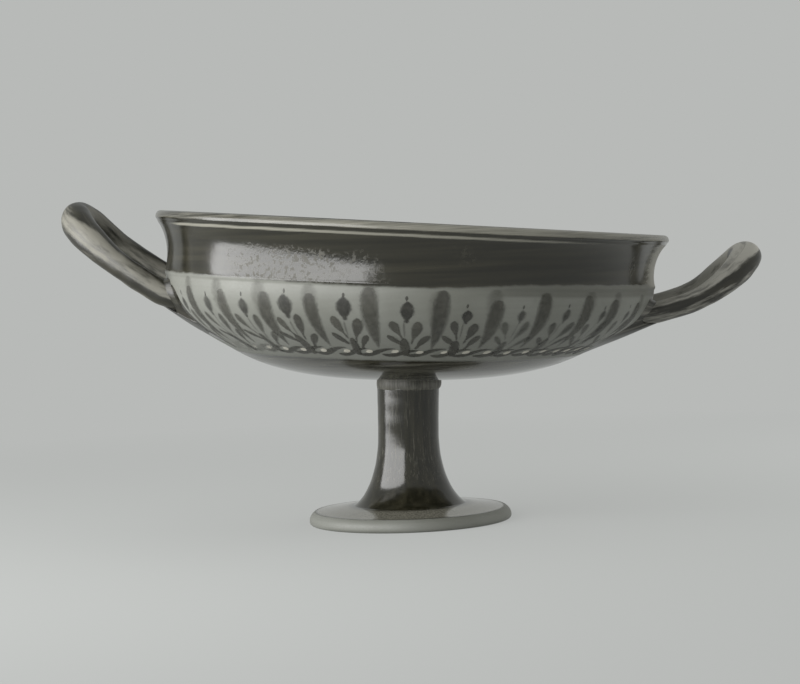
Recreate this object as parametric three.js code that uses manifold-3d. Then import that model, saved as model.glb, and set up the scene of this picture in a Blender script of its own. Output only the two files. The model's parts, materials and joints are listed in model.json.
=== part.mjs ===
// A Greek kylix: a wide, shallow drinking cup on a tall stem, with two upswept handles.
// Units are millimetres, +Z is up, and the handles lie along X. The pieces are the ones a potter
// makes and joins: a thrown bowl, a thrown foot and stem, two rolled handles, a clay fillet round
// the top of the stem, and the slip that lutes each joint.
import * as THREE from "three";
import { mergeVertices } from "three/addons/utils/BufferGeometryUtils.js";
import Module from "manifold-3d";

// Foot and stem
const FOOT_RADIUS = 44.6; // widest point, just above the table
const FOOT_WIDEST_Z = 1.3;
const FOOT_UNDERCUT = 1.1; // the flat that rests is this much smaller
const FOOT_REST_WIDTH = 9; // and is a ring of this width
const FOOT_EDGE_HEIGHT = 6.4; // height of the sloping, unpainted edge
const FOOT_EDGE_SLOPE = 3.3; // how far that edge leans in over its height
const PLATE_RISE = 1.2; // the plate's top climbs this much towards the stem
const PLATE_THICKNESS = 5.2;
const FLARE_WIDTH = 11.1; // the trumpet at the stem's foot: how far it spreads on the plate
const FLARE_HEIGHT = 31; // and how high it reaches above the plate
const FLARE_LOWER_PULL = [6.1, 2.9]; // how full its lower end is, outwards and up
const FLARE_UPPER_PULL = 16.7; // and how far down its upper end runs straight
const STEM_RADIUS = 13.4;
const STEM_TOP_SPREAD = 0.4; // the stem widens this much towards its top
const STEM_HEIGHT = 62; // table to the stem's top face
const STEM_WALL = 7; // clay round the hollow, at the hollow's top
const STEM_CAP = 11; // solid clay above the hollow
const HOLLOW_CROWN = 2; // the hollow's top is a blunt cone of this height
const HOLLOW_TAPER = 3; // the hollow is this much wider at its lower end
const HOLLOW_MOUTH_HEIGHT = 12; // and below that it spreads, like a trumpet, over this height
const HOLLOW_LOWER_PULL = [6, 0.6]; // how full that trumpet's lower end is, outwards and up
const HOLLOW_UPPER_PULL = 8; // and how far down its upper end runs straight
const RECESS_SLOPE = 2; // the resting ring's inner side leans in this much

// Joints
const JOINT_GAP = 0.3; // clearance between faces in a joint
const SLIP_THICKNESS = 0.8; // fired slip between two luted pieces
const FILLET_HEIGHT = 3.4;
const FILLET_BITE = 1.5; // how deep the fillet sits in the stem's top edge
const FILLET_BULGE = 0.5; // how far it stands out past the stem
const PAD_SPREAD = 1.6; // slip squeezed out past a handle's bar, all round

// Bowl
const SHOULDER_RADIUS = 107; // widest part of the belly, under the lip's lower edge
const BOWL_DEPTH = 41.5; // underside to shoulder
const BASE_MARGIN = 0.7; // the underside is flat this far past the fillet
const ZONE_RADIUS = 76.5; // where the flat lower belly turns up into the handle zone
const ZONE_RISE = 11.8; // and its height above the underside
const ZONE_SLOPE = THREE.MathUtils.degToRad(28.5);
const LOWER_BELLY_PULLS = [30.3, 15.5]; // fullness of the curve below that, at its two ends
const UPPER_BELLY_PULLS = [14, 16]; // and of the curve above
const WALL_THICKNESS = 3.8;
const FLOOR_THICKNESS = 5.5; // over the stem
const THINNING = 0.5; // share of the belly's line over which the floor thins to the wall
const STEP_OVERHANG = 0.9; // the lip's lower edge stands out past the shoulder
const STEP_HEIGHT = 2.2;
const STEP_DROP = 1.76; // the rounded edge's curve falls this far below the lip
const STEP_ARC = [-60, -20]; // and is this part of a quarter ellipse, in degrees
const LIP_HEIGHT = 24.3; // from that edge to the rim's top
const LIP_WAIST = 1.5; // how far the lip draws in between its edges
const RIM_FLARE = 5.5; // the rim's widest radius less the shoulder's
const RIM_HALF_WIDTH = 2.2; // of the rounded bead
const RIM_HALF_HEIGHT = 2.9;
const BEAD_ARC = [-60, 150]; // the part of that ellipse that stands free, in degrees

// Handles
const BAR_RADIUS = 5;
const TIP_BAR_RADIUS = 6.9; // the bar is thicker at the end of the loop
const SWELL_LENGTH = 22; // and thickens over this much of the handle's reach
const ROOT_SPREAD = 50; // between the centres of one handle's two legs
const TIP_REACH = 40; // the loop's end past the shoulder, on the bar's centre line
const LOOP_SQUARENESS = 2.5; // 2 is a half ellipse in plan, and more is squarer
const ROOT_RUN = 22; // a leg is made this much too long, then cut to the wall
const HANDLES = [
  // Heights are from the shoulder and angles above level, on the centre line. The left handle was
  // put on a little askew, so its back leg is higher than its front one.
  { side: "right", turn: 0, rootDrop: 10.7, rootAngle: 17, tipRise: 18.6, tipAngle: 55, backLift: 0.5 },
  { side: "left", turn: Math.PI, rootDrop: 6.4, rootAngle: 27, tipRise: 21, tipAngle: 39, backLift: 4.4 },
];

// The kiln's slump: the fired cup leans over towards +X, by this angle at the rim.
const SLUMP_ANGLE = THREE.MathUtils.degToRad(5.15);

// Fineness of the round shapes: steps round the axis, along a curve, and round and along a bar
const ROUND_STEPS = 56;
const SMALL_ROUND_STEPS = 40;
const BELLY_STEPS = 8;
const LIP_STEPS = 6;
const STEP_STEPS = 2;
const BEAD_STEPS = 8;
const FLARE_STEPS = 9;
const HOLLOW_STEPS = 7;
const ENVELOPE_STEPS = 10;
const WALL_LOOKUP_STEPS = 40;
const BAR_SIDES = 14;
const BAR_STEPS = 48;

const PLATE_TOP_Z = FOOT_EDGE_HEIGHT + PLATE_RISE;
const STEM_TOP_RADIUS = STEM_RADIUS + STEM_TOP_SPREAD;
const NECK_RADIUS = STEM_TOP_RADIUS - FILLET_BITE;
const BASE_Z = STEM_HEIGHT + SLIP_THICKNESS + 2 * JOINT_GAP;
const FILLET_TOP_Z = BASE_Z - JOINT_GAP;
const FILLET_BOTTOM_Z = FILLET_TOP_Z - FILLET_HEIGHT;
const SHOULDER_Z = BASE_Z + BOWL_DEPTH;
const STEP_RADIUS = SHOULDER_RADIUS + STEP_OVERHANG;
const STEP_Z = SHOULDER_Z + STEP_HEIGHT;
const RIM_TOP_Z = STEP_Z + LIP_HEIGHT;
const BEAD_CENTRE_RADIUS = SHOULDER_RADIUS + RIM_FLARE - RIM_HALF_WIDTH;
const BEAD_CENTRE_Z = RIM_TOP_Z - RIM_HALF_HEIGHT;

const CLAY = { color: 0xa9805f, roughness: 0.75, metalness: 0 };
const BLACK_GLOSS = { color: 0x2a2823, roughness: 0.35, metalness: 0 };

const wasm = await Module();
wasm.setup();

// A profile point: distance from the cup's axis, and height.
const at = (radius, height) => new THREE.Vector2(radius, height);

const curve = (start, pullA, pullB, end, steps) =>
  new THREE.CubicBezierCurve(start, pullA, pullB, end).getPoints(steps);

// Points along part of an ellipse, counter-clockwise between an arc's two angles in degrees.
function roundOff(centre, halfWidth, halfHeight, arc, steps) {
  const [start, end] = arc.map(THREE.MathUtils.degToRad);
  return new THREE.EllipseCurve(centre.x, centre.y, halfWidth, halfHeight, start, end).getPoints(steps);
}

// The same line moved sideways, to the right of its direction of travel.
function offsetLine(points, distanceAt) {
  const last = points.length - 1;
  return points.map((point, i) => {
    const along = points[Math.min(i + 1, last)].clone().sub(points[Math.max(i - 1, 0)]).normalize();
    const distance = distanceAt(i / last);
    return at(point.x + along.y * distance, point.y - along.x * distance);
  });
}

// A solid of revolution, stood up on Z. The profile starts and ends on the axis, or closes on itself.
const turned = (profile, steps) => new THREE.LatheGeometry(profile, steps).rotateX(Math.PI / 2);

function toSolid(geometry) {
  const bare = new THREE.BufferGeometry().setAttribute("position", geometry.getAttribute("position"));
  if (geometry.index) bare.setIndex(geometry.index);
  const merged = mergeVertices(bare, 1e-4);
  const index = merged.index.array;
  const faces = [];
  for (let i = 0; i < index.length; i += 3) {
    const [a, b, c] = [index[i], index[i + 1], index[i + 2]];
    if (a !== b && b !== c && c !== a) faces.push(a, b, c);
  }
  return new wasm.Manifold(new wasm.Mesh({
    numProp: 3,
    vertProperties: merged.getAttribute("position").array,
    triVerts: new Uint32Array(faces),
  }));
}

function toGeometry(solid) {
  const mesh = solid.getMesh();
  return new THREE.BufferGeometry()
    .setAttribute("position", new THREE.BufferAttribute(new Float32Array(mesh.vertProperties), 3))
    .setIndex(new THREE.BufferAttribute(new Uint32Array(mesh.triVerts), 1));
}

// The belly's outer line, from the flat over the stem up to the shoulder.
function bellyLine(steps) {
  const start = at(STEM_TOP_RADIUS + FILLET_BULGE + BASE_MARGIN, BASE_Z);
  const turn = at(ZONE_RADIUS, BASE_Z + ZONE_RISE);
  const end = at(SHOULDER_RADIUS, SHOULDER_Z);
  const uphill = at(Math.cos(ZONE_SLOPE), Math.sin(ZONE_SLOPE));
  const [startPull, belowTurn] = LOWER_BELLY_PULLS;
  const [aboveTurn, endPull] = UPPER_BELLY_PULLS;
  const lower = curve(
    start,
    at(start.x + startPull, start.y),
    turn.clone().addScaledVector(uphill, -belowTurn),
    turn,
    steps,
  );
  const upper = curve(
    turn,
    turn.clone().addScaledVector(uphill, aboveTurn),
    at(end.x, end.y - endPull),
    end,
    steps,
  );
  return [...lower, ...upper.slice(1)];
}

// The lip's hollow outer line, from its lower edge up to the underside of the rim's bead.
function lipLine(steps) {
  const edge = at(STEP_RADIUS, STEP_Z);
  const underBead = at(BEAD_CENTRE_RADIUS, BEAD_CENTRE_Z - RIM_HALF_HEIGHT);
  const height = underBead.y - edge.y;
  const low = at(edge.x - LIP_WAIST, edge.y + height / 4);
  const high = at(edge.x - LIP_WAIST / 2, edge.y + (height * 3) / 4);
  return curve(edge, low, high, underBead, steps);
}

function bowlGeometry() {
  const belly = bellyLine(BELLY_STEPS);
  const lip = lipLine(LIP_STEPS);
  const stepCentre = at(SHOULDER_RADIUS, STEP_Z);
  const step = roundOff(stepCentre, STEP_OVERHANG, STEP_DROP, STEP_ARC, STEP_STEPS);
  const beadCentre = at(BEAD_CENTRE_RADIUS, BEAD_CENTRE_Z);
  const bead = roundOff(beadCentre, RIM_HALF_WIDTH, RIM_HALF_HEIGHT, BEAD_ARC, BEAD_STEPS);
  const thickness = (share) =>
    THREE.MathUtils.lerp(FLOOR_THICKNESS, WALL_THICKNESS, Math.min(1, share / THINNING));
  const inside = [
    ...offsetLine(belly, (share) => -thickness(share)),
    ...offsetLine(lip, () => -WALL_THICKNESS),
  ];
  const floor = at(0, BASE_Z + FLOOR_THICKNESS);
  return turned([at(0, BASE_Z), ...belly, ...step, ...lip, ...bead, ...inside.reverse(), floor], ROUND_STEPS);
}

// All that lies within the bowl's outer skin grown by a distance. It trims what is luted to the wall.
function bowlEnvelope(distance) {
  const skin = offsetLine(bellyLine(ENVELOPE_STEPS), () => distance);
  const underStep = at(STEP_RADIUS + distance, SHOULDER_Z - distance);
  const top = at(STEP_RADIUS + distance, RIM_TOP_Z);
  const profile = [at(0, BASE_Z - distance), ...skin.slice(0, -1), underStep, top, at(0, RIM_TOP_Z)];
  return toSolid(turned(profile, ROUND_STEPS));
}

function footGeometry() {
  const restOuter = FOOT_RADIUS - FOOT_UNDERCUT;
  const restInner = restOuter - FOOT_REST_WIDTH;
  const edgeTop = at(FOOT_RADIUS - FOOT_EDGE_SLOPE, FOOT_EDGE_HEIGHT);
  const flareStart = at(STEM_RADIUS + FLARE_WIDTH, PLATE_TOP_Z);
  const flareEnd = at(STEM_RADIUS, PLATE_TOP_Z + FLARE_HEIGHT);
  const flare = curve(
    flareStart,
    at(STEM_RADIUS + FLARE_LOWER_PULL[0], PLATE_TOP_Z + FLARE_LOWER_PULL[1]),
    at(flareEnd.x, flareEnd.y - FLARE_UPPER_PULL),
    flareEnd,
    FLARE_STEPS,
  );
  const ceiling = PLATE_TOP_Z - PLATE_THICKNESS;
  const hollowRadius = STEM_RADIUS - STEM_WALL;
  const mouth = at(hollowRadius + HOLLOW_TAPER, ceiling + HOLLOW_MOUTH_HEIGHT);
  const hollowTop = STEM_HEIGHT - STEM_CAP;
  const trumpet = curve(
    mouth,
    at(mouth.x, mouth.y - HOLLOW_UPPER_PULL),
    at(mouth.x + HOLLOW_LOWER_PULL[0], ceiling + HOLLOW_LOWER_PULL[1]),
    at(restInner - RECESS_SLOPE, ceiling),
    HOLLOW_STEPS,
  );
  const seat = FILLET_BOTTOM_Z - JOINT_GAP;
  const profile = [
    at(0, hollowTop),
    at(hollowRadius, hollowTop - HOLLOW_CROWN),
    ...trumpet,
    at(restInner, 0),
    at(restOuter, 0),
    at(FOOT_RADIUS, FOOT_WIDEST_Z),
    edgeTop,
    ...flare,
    at(STEM_TOP_RADIUS, seat),
    at(NECK_RADIUS, seat),
    at(NECK_RADIUS, STEM_HEIGHT),
    at(0, STEM_HEIGHT),
  ];
  return turned(profile, ROUND_STEPS);
}

// The clay ring pressed round the joint between stem and bowl.
function filletGeometry() {
  const inner = NECK_RADIUS + JOINT_GAP;
  const bulge = STEM_TOP_RADIUS + FILLET_BULGE - inner;
  const middle = at(inner, (FILLET_TOP_Z + FILLET_BOTTOM_Z) / 2);
  const profile = roundOff(middle, bulge, FILLET_HEIGHT / 2, [-90, 90], BEAD_STEPS);
  return turned([...profile, profile[0].clone()], SMALL_ROUND_STEPS);
}

function stemSlipGeometry() {
  const bottom = STEM_HEIGHT + JOINT_GAP;
  const top = bottom + SLIP_THICKNESS;
  const profile = [at(0, bottom), at(NECK_RADIUS, bottom), at(NECK_RADIUS, top), at(0, top)];
  return turned(profile, SMALL_ROUND_STEPS);
}

function wallRadiusAt(height) {
  const line = bellyLine(WALL_LOOKUP_STEPS);
  const above = line.findIndex((point) => point.y >= height);
  const [low, high] = [line[above - 1], line[above]];
  return THREE.MathUtils.mapLinear(height, low.y, high.y, low.x, high.x);
}

// A handle's centre line, as it lies on the +X side. From above it is a horseshoe. From the side it
// leaves the wall at one angle and climbs to the loop's end at a steeper one.
class HandleLine extends THREE.Curve {
  constructor(handle) {
    super();
    const half = ROOT_SPREAD / 2;
    const rootZ = SHOULDER_Z - handle.rootDrop;
    this.half = half;
    this.root = at(Math.sqrt(wallRadiusAt(rootZ) ** 2 - half ** 2), rootZ);
    this.tip = at(SHOULDER_RADIUS + TIP_REACH, SHOULDER_Z + handle.tipRise);
    this.rootSlope = Math.tan(THREE.MathUtils.degToRad(handle.rootAngle));
    this.tipSlope = Math.tan(THREE.MathUtils.degToRad(handle.tipAngle));
    // Turned half round, the left handle's back leg comes to the other side.
    this.skew = (handle.turn ? -1 : 1) * handle.backLift / ROOT_SPREAD;
    this.runShare = ROOT_RUN / (2 * ROOT_RUN + Math.PI * (this.tip.x - this.root.x));
  }

  // Height of the centre line at a distance from the cup's axis. It levels off inside the wall.
  heightAt(x, y) {
    const lift = y * this.skew;
    if (x <= this.root.x) return this.root.y + ((x - this.root.x) * this.rootSlope) / 2 + lift;
    const length = this.tip.x - this.root.x;
    const share = (x - this.root.x) / length;
    const rest = 1 - share;
    return (
      rest * rest * (1 + 2 * share) * this.root.y +
      share * share * (3 - 2 * share) * this.tip.y +
      share * rest * length * (rest * this.rootSlope - share * this.tipSlope) +
      lift
    );
  }

  getPoint(t, target = new THREE.Vector3()) {
    const sideways = t < 0.5 ? -1 : 1;
    const fromEnd = Math.min(t, 1 - t);
    let x = this.root.x - ROOT_RUN * (1 - fromEnd / this.runShare);
    let y = sideways * this.half;
    if (fromEnd > this.runShare) {
      const turn = ((fromEnd - this.runShare) / (0.5 - this.runShare)) * (Math.PI / 2);
      const power = 2 / LOOP_SQUARENESS;
      x = this.root.x + (this.tip.x - this.root.x) * Math.sin(turn) ** power;
      y = sideways * this.half * Math.max(0, Math.cos(turn)) ** power;
    }
    return target.set(x, y, this.heightAt(x, y));
  }
}

const disc = (radius) =>
  new THREE.Shape(new THREE.EllipseCurve(0, 0, radius, radius).getPoints(BAR_SIDES).slice(0, -1));

const sweep = (path, radius, steps) =>
  new THREE.ExtrudeGeometry(disc(radius), { extrudePath: path, steps, bevelEnabled: false });

// Thickens a swept bar towards the end of its loop, about its own centre line.
function swell(geometry, path, steps) {
  const centres = path.getSpacedPoints(steps);
  const position = geometry.getAttribute("position");
  const vertex = new THREE.Vector3();
  for (let i = 0; i < position.count; i++) {
    vertex.fromBufferAttribute(position, i);
    const nearest = centres.reduce((best, centre) =>
      centre.distanceToSquared(vertex) < best.distanceToSquared(vertex) ? centre : best);
    const share = THREE.MathUtils.smoothstep(nearest.x, path.tip.x - SWELL_LENGTH, path.tip.x);
    const thickness = THREE.MathUtils.lerp(BAR_RADIUS, TIP_BAR_RADIUS, share) / BAR_RADIUS;
    vertex.sub(nearest).multiplyScalar(thickness).add(nearest);
    position.setXYZ(i, vertex.x, vertex.y, vertex.z);
  }
  return geometry;
}

function handleSolid(handle) {
  const path = new HandleLine(handle);
  const bar = toSolid(swell(sweep(path, BAR_RADIUS, BAR_STEPS), path, BAR_STEPS));
  return bar.subtract(bowlEnvelope(SLIP_THICKNESS + 2 * JOINT_GAP));
}

// The slip under one leg: a short, wider bar, kept only between two skins round the bowl.
function rootSlipSolid(handle, sideways) {
  const path = new HandleLine(handle);
  const y = sideways * path.half;
  const [inner, outer] = [-ROOT_RUN, ROOT_RUN / 2].map((run) => {
    const x = path.root.x + run;
    return new THREE.Vector3(x, y, path.heightAt(path.root.x, y) + (run * path.rootSlope) / 2);
  });
  const stub = toSolid(sweep(new THREE.LineCurve3(inner, outer), BAR_RADIUS + PAD_SPREAD, 1));
  return stub.intersect(bowlEnvelope(SLIP_THICKNESS + JOINT_GAP)).subtract(bowlEnvelope(JOINT_GAP));
}

// Bends a geometry as the kiln did: each level section stays flat, and tilts more the higher it is.
function slump(geometry) {
  const position = geometry.getAttribute("position");
  for (let i = 0; i < position.count; i++) {
    const [x, z] = [position.getX(i), position.getZ(i)];
    const angle = (SLUMP_ANGLE * z) / RIM_TOP_Z;
    const climb = angle ? Math.sin(angle) / angle : 1;
    const lean = angle ? (1 - Math.cos(angle)) / angle : 0;
    position.setX(i, x * Math.cos(angle) + z * lean);
    position.setZ(i, z * climb - x * Math.sin(angle));
  }
  geometry.computeVertexNormals();
  return geometry;
}

const kylix = new THREE.Group();

function addPiece(name, geometry, finish) {
  const mesh = new THREE.Mesh(slump(geometry), new THREE.MeshStandardMaterial(finish));
  mesh.name = name;
  kylix.add(mesh);
}

addPiece("bowl", bowlGeometry(), CLAY);
addPiece("foot_and_stem", footGeometry(), BLACK_GLOSS);
addPiece("stem_fillet", filletGeometry(), BLACK_GLOSS);
addPiece("stem_slip", stemSlipGeometry(), CLAY);

for (const handle of HANDLES) {
  const inPlace = (solid) => toGeometry(solid).rotateZ(handle.turn);
  const towardsBack = handle.turn ? -1 : 1;
  addPiece(`handle_${handle.side}`, inPlace(handleSolid(handle)), BLACK_GLOSS);
  addPiece(`handle_${handle.side}_front_slip`, inPlace(rootSlipSolid(handle, -towardsBack)), CLAY);
  addPiece(`handle_${handle.side}_back_slip`, inPlace(rootSlipSolid(handle, towardsBack)), CLAY);
}

// The origin is under the middle of the cup's whole width, so the slumped cup's foot is a little to
// the -X side of it.
kylix.position.x = -new THREE.Box3().setFromObject(kylix).getCenter(new THREE.Vector3()).x;

export default kylix;
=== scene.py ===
# %% [markdown]
# # A black-gloss kylix, thrown, joined and painted
# This lesson finishes a Greek drinking cup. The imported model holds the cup's real sizes and says where
# each piece is. Here each piece gets the surface that a potter and a painter gave it. We start by
# loading that model, and we keep its box to compare with at the end. Nothing in it is ever moved.

# %% Load the frame
import json
import math

import bpy
import numpy as np
from mathutils import Matrix, Vector

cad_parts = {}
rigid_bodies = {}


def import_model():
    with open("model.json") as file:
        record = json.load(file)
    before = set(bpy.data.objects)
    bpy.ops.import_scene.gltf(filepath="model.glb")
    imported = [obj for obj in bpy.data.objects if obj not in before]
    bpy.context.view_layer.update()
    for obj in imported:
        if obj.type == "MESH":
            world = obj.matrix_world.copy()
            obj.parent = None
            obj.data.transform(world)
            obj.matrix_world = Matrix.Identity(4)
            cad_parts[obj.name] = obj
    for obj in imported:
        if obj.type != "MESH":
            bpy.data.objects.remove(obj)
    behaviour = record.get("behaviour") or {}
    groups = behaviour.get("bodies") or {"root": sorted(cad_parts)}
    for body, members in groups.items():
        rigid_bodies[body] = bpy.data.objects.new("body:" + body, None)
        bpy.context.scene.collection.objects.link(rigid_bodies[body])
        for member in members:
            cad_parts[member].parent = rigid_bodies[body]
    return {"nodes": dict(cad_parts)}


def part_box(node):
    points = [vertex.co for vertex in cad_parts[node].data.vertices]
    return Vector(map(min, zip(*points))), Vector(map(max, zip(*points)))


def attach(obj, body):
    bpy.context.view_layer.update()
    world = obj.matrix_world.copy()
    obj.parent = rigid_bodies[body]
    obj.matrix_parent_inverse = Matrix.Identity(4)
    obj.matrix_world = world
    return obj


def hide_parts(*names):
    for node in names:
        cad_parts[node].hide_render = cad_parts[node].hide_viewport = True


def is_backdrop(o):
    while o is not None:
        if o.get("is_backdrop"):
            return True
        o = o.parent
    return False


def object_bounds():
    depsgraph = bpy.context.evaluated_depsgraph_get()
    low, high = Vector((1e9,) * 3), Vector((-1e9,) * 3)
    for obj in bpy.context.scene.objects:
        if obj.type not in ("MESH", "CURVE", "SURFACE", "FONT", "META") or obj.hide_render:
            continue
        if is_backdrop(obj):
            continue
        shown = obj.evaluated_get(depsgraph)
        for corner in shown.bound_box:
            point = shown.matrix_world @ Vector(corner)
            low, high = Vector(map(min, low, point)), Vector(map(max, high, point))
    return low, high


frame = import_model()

cad_box = [list(corner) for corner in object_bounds()]
scene = bpy.context.scene
print("nodes:", ", ".join(sorted(frame["nodes"])))

# %% [markdown]
# ## Lines of the thrown shapes
# A potter's shape is a line turned round an axis. We write each line in millimetres, as distance from
# the axis and height above the table, and only with the points that its shape needs: a few curves and
# arcs. A traced list of points would be longer, and nobody could change it. The widest radii are read
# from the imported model, so that both models agree.

# %% Helpers for lines
MM = 0.001


def width_of(node):
    """A node's size from front to back, in millimetres."""
    low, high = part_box(node)
    return (high.y - low.y) / MM


def bezier(start, pull_a, pull_b, end, steps):
    t = np.linspace(0, 1, steps + 1)[:, None]
    start, pull_a, pull_b, end = map(np.asarray, (start, pull_a, pull_b, end))
    near = (1 - t) ** 3 * start + 3 * (1 - t) ** 2 * t * pull_a
    return near + 3 * (1 - t) * t ** 2 * pull_b + t ** 3 * end


def arc(centre, half_width, half_height, first, last, steps):
    """Part of an ellipse, counter-clockwise between two angles in degrees."""
    turn = np.radians(np.linspace(first, last, steps + 1))
    return np.asarray(centre) + np.stack([half_width * np.cos(turn), half_height * np.sin(turn)], 1)


def side_of(line):
    """The direction to the right of travel, at each point of a line."""
    along = np.gradient(line, axis=0)
    along /= np.linalg.norm(along, axis=1)[:, None]
    return np.stack([along[:, 1], -along[:, 0]], 1)


def run_of(line):
    """Distance travelled along a line, at each of its points."""
    return np.r_[0, np.cumsum(np.linalg.norm(np.diff(line, axis=0), axis=1))]


def join(*lines):
    """Lines end to end, without the points that two neighbours share."""
    whole = np.vstack(lines)
    fresh = np.r_[True, np.linalg.norm(np.diff(whole, axis=0), axis=1) > 1e-6]
    return whole[fresh]


# %% The bowl's line
RIM_RADIUS = width_of("bowl") / 2
BASE_Z = 63.4  # underside of the bowl
BASE_RADIUS = 15  # its flat, over the stem
FLAT_STEPS = 8
RISING = slice(FLAT_STEPS + 1, None)  # the belly's points past that flat
BASE_PULL = 45.3  # how far out the curve keeps low
TURN = np.array([76.5, 75.2])  # where the lower belly turns up
CLIMB = math.radians(28.5)  # its slope there
UPHILL = np.array([math.cos(CLIMB), math.sin(CLIMB)])
SHOULDER = np.array([107, 104.9])
LIP_FOOT = np.array([107.5, 107.1])  # the lip's lower edge
BEAD_HALF_WIDTH = 2.2
BEAD_HALF_HEIGHT = 2.4
BEAD_CENTRE = np.array([RIM_RADIUS - BEAD_HALF_WIDTH, 128.9])
BEAD_ARC = (-47, 150)  # from the flaring lip over the top to the inside, in degrees
RIM_TOP_Z = BEAD_CENTRE[1] + BEAD_HALF_HEIGHT
WALL = 3.8
FLOOR = 5.5

belly = join(
    [(0, BASE_Z)],
    np.stack([np.linspace(2, BASE_RADIUS, FLAT_STEPS), np.full(FLAT_STEPS, BASE_Z)], 1),
    bezier((BASE_RADIUS, BASE_Z), (BASE_PULL, BASE_Z), TURN - 15.5 * UPHILL, TURN, 48),
    bezier(TURN, TURN + 14 * UPHILL, SHOULDER - (0, 16), SHOULDER, 40),
)
bead = arc(BEAD_CENTRE, BEAD_HALF_WIDTH, BEAD_HALF_HEIGHT, *BEAD_ARC, 30)
lip = bezier(LIP_FOOT, LIP_FOOT + (-1.7, 4.9), bead[0] + (-5.2, -5.4), bead[0], 60)
lip_edge = bezier(SHOULDER, SHOULDER + (0, 1), LIP_FOOT - (0, 1), LIP_FOOT, 10)

belly_share = run_of(belly) / run_of(belly)[-1]
thickness = np.interp(belly_share, [0, 0.5], [FLOOR, WALL])
belly_inside = belly - side_of(belly) * thickness[:, None]
lip_inside = lip - side_of(lip) * WALL
outside = join(belly, lip_edge, lip)
floor_middle = [(0, BASE_Z + FLOOR)]
bowl_line = join(outside, bead, lip_inside[::-1], belly_inside[FLAT_STEPS:][::-1], floor_middle)
bowl_run = run_of(bowl_line)
LIP_RUN = run_of(join(belly, lip_edge))[-1]
RIM_RUN = bowl_run[np.argmax(bowl_line[:, 1])]
print(f"bowl: rim radius {RIM_RADIUS:.1f} mm, {len(bowl_line)} points, {bowl_run[-1]:.0f} mm of line")

# %% [markdown]
# A sharp groove runs under the rim's bead, where the potter's nail or tool passed last. We press it
# into the line itself, because a groove in the shape catches the light like the real one, also in
# the exported mesh. The fingers leave shallow rings too, mostly inside, where nobody smoothed them:
# each point of the line says how deep they may be there, and the wheel below makes them.

# %% The groove under the bead, and where finger rings may show
GROOVE_RUN = run_of(outside)[-1] + 0.4
GROOVE_DEPTH = 0.28
GROOVE_HALF_WIDTH = 0.7


def hump(values, middle, half_width):
    """1 at the middle, and dying away smoothly to both sides."""
    return np.exp(-((values - middle) / half_width) ** 2)


groove = GROOVE_DEPTH * hump(bowl_run, GROOVE_RUN, GROOVE_HALF_WIDTH)
bowl_line = bowl_line - side_of(bowl_line) * groove[:, None]
ring_limits = [RIM_RUN + 12, RIM_RUN + 30, bowl_run[-1] - 25, bowl_run[-1] - 8]
bowl_rings = np.interp(bowl_run, ring_limits, [0, 1, 1, 0])
print(f"groove at run {GROOVE_RUN:.1f} mm, finger rings from {ring_limits[0]:.0f} to {ring_limits[-1]:.0f}")

# %% [markdown]
# ## The kiln's slump
# The cup left the kiln leaning over. Every piece is shaped upright first, because round things are
# easy to make upright, and one function then bends all of them alike: each level stays flat, and
# tilts more the higher it is. The same function gives the rim its slight oval and turns millimetres
# into metres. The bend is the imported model's, and the foot's place is read from it.

# %% Firing
foot_low, foot_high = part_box("foot_and_stem")
AXIS_X = (foot_low.x + foot_high.x) / 2 / MM
SLUMP = math.radians(5.15)  # lean at the rim
OVAL = 0.0022  # how much narrower the rim is one way than the other
OVAL_TURN = 0.6  # where its narrow way lies, in radians


def turned_by(points, angle):
    """Upright points turned round the cup's axis."""
    x, y, z = points.T
    along, across = math.cos(angle), math.sin(angle)
    return np.stack([x * along - y * across, x * across + y * along, z], 1)


def fire(points):
    """Bends upright points, in millimetres, as the kiln did, and gives them in metres in the frame."""
    x, y, z = np.asarray(points, float).T
    share = np.hypot(x, y) / RIM_RADIUS
    squeeze = 1 - OVAL * share * (1 - np.cos(2 * np.arctan2(x, -y) + OVAL_TURN)) / 2
    x, y = x * squeeze, y * squeeze
    # The upright axis becomes an arc of the same length, and each level leans by its own angle
    angle = SLUMP * z / RIM_TOP_Z
    climb = np.sinc(angle / math.pi)
    lean = angle / 2 * np.sinc(angle / 2 / math.pi) ** 2
    bent = np.stack([x * np.cos(angle) + z * lean + AXIS_X, y, z * climb - x * np.sin(angle)], 1)
    return bent * MM


print(f"axis at x {AXIS_X:.1f} mm, lean at the rim {math.degrees(SLUMP):.2f} degrees")

# %% [markdown]
# ## Nodes by one small function
# Shaders and Geometry Nodes are both made of nodes, settings and links. One function is enough for
# all of them: a name with an equals sign is a setting of the node, and the dictionary holds its
# sockets, each with a value or with what is linked to it. A plain list fills the sockets that the node
# shows, from the top. A node may stand for its first output.

# %% The function that adds a node
def add_node(tree, kind, inputs=(), **settings):
    node = tree.nodes.new(kind)
    for name, value in settings.items():
        setattr(node, name, value)
    shown = [socket for socket in node.inputs if socket.enabled]
    named = inputs.items() if isinstance(inputs, dict) else enumerate(inputs)
    for name, value in named:
        socket = shown[name] if isinstance(name, int) else next(s for s in shown if s.name == name)
        if isinstance(value, bpy.types.Node):
            value = next(output for output in value.outputs if output.enabled)
        if isinstance(value, bpy.types.NodeSocket):
            tree.links.new(value, socket)
        else:
            socket.default_value = value
    return node


def start_tree(name, sizes):
    """A Geometry Nodes tree that takes a mesh and the named sizes, and its first and last node."""
    tree = bpy.data.node_groups.new(name, "GeometryNodeTree")
    tree.interface.new_socket("Geometry", in_out="INPUT", socket_type="NodeSocketGeometry")
    for label, kind in sizes.items():
        tree.interface.new_socket(label, in_out="INPUT", socket_type="NodeSocket" + kind)
    tree.interface.new_socket("Geometry", in_out="OUTPUT", socket_type="NodeSocketGeometry")
    return tree, tree.nodes.new("NodeGroupInput").outputs, tree.nodes.new("NodeGroupOutput").inputs[0]


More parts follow.
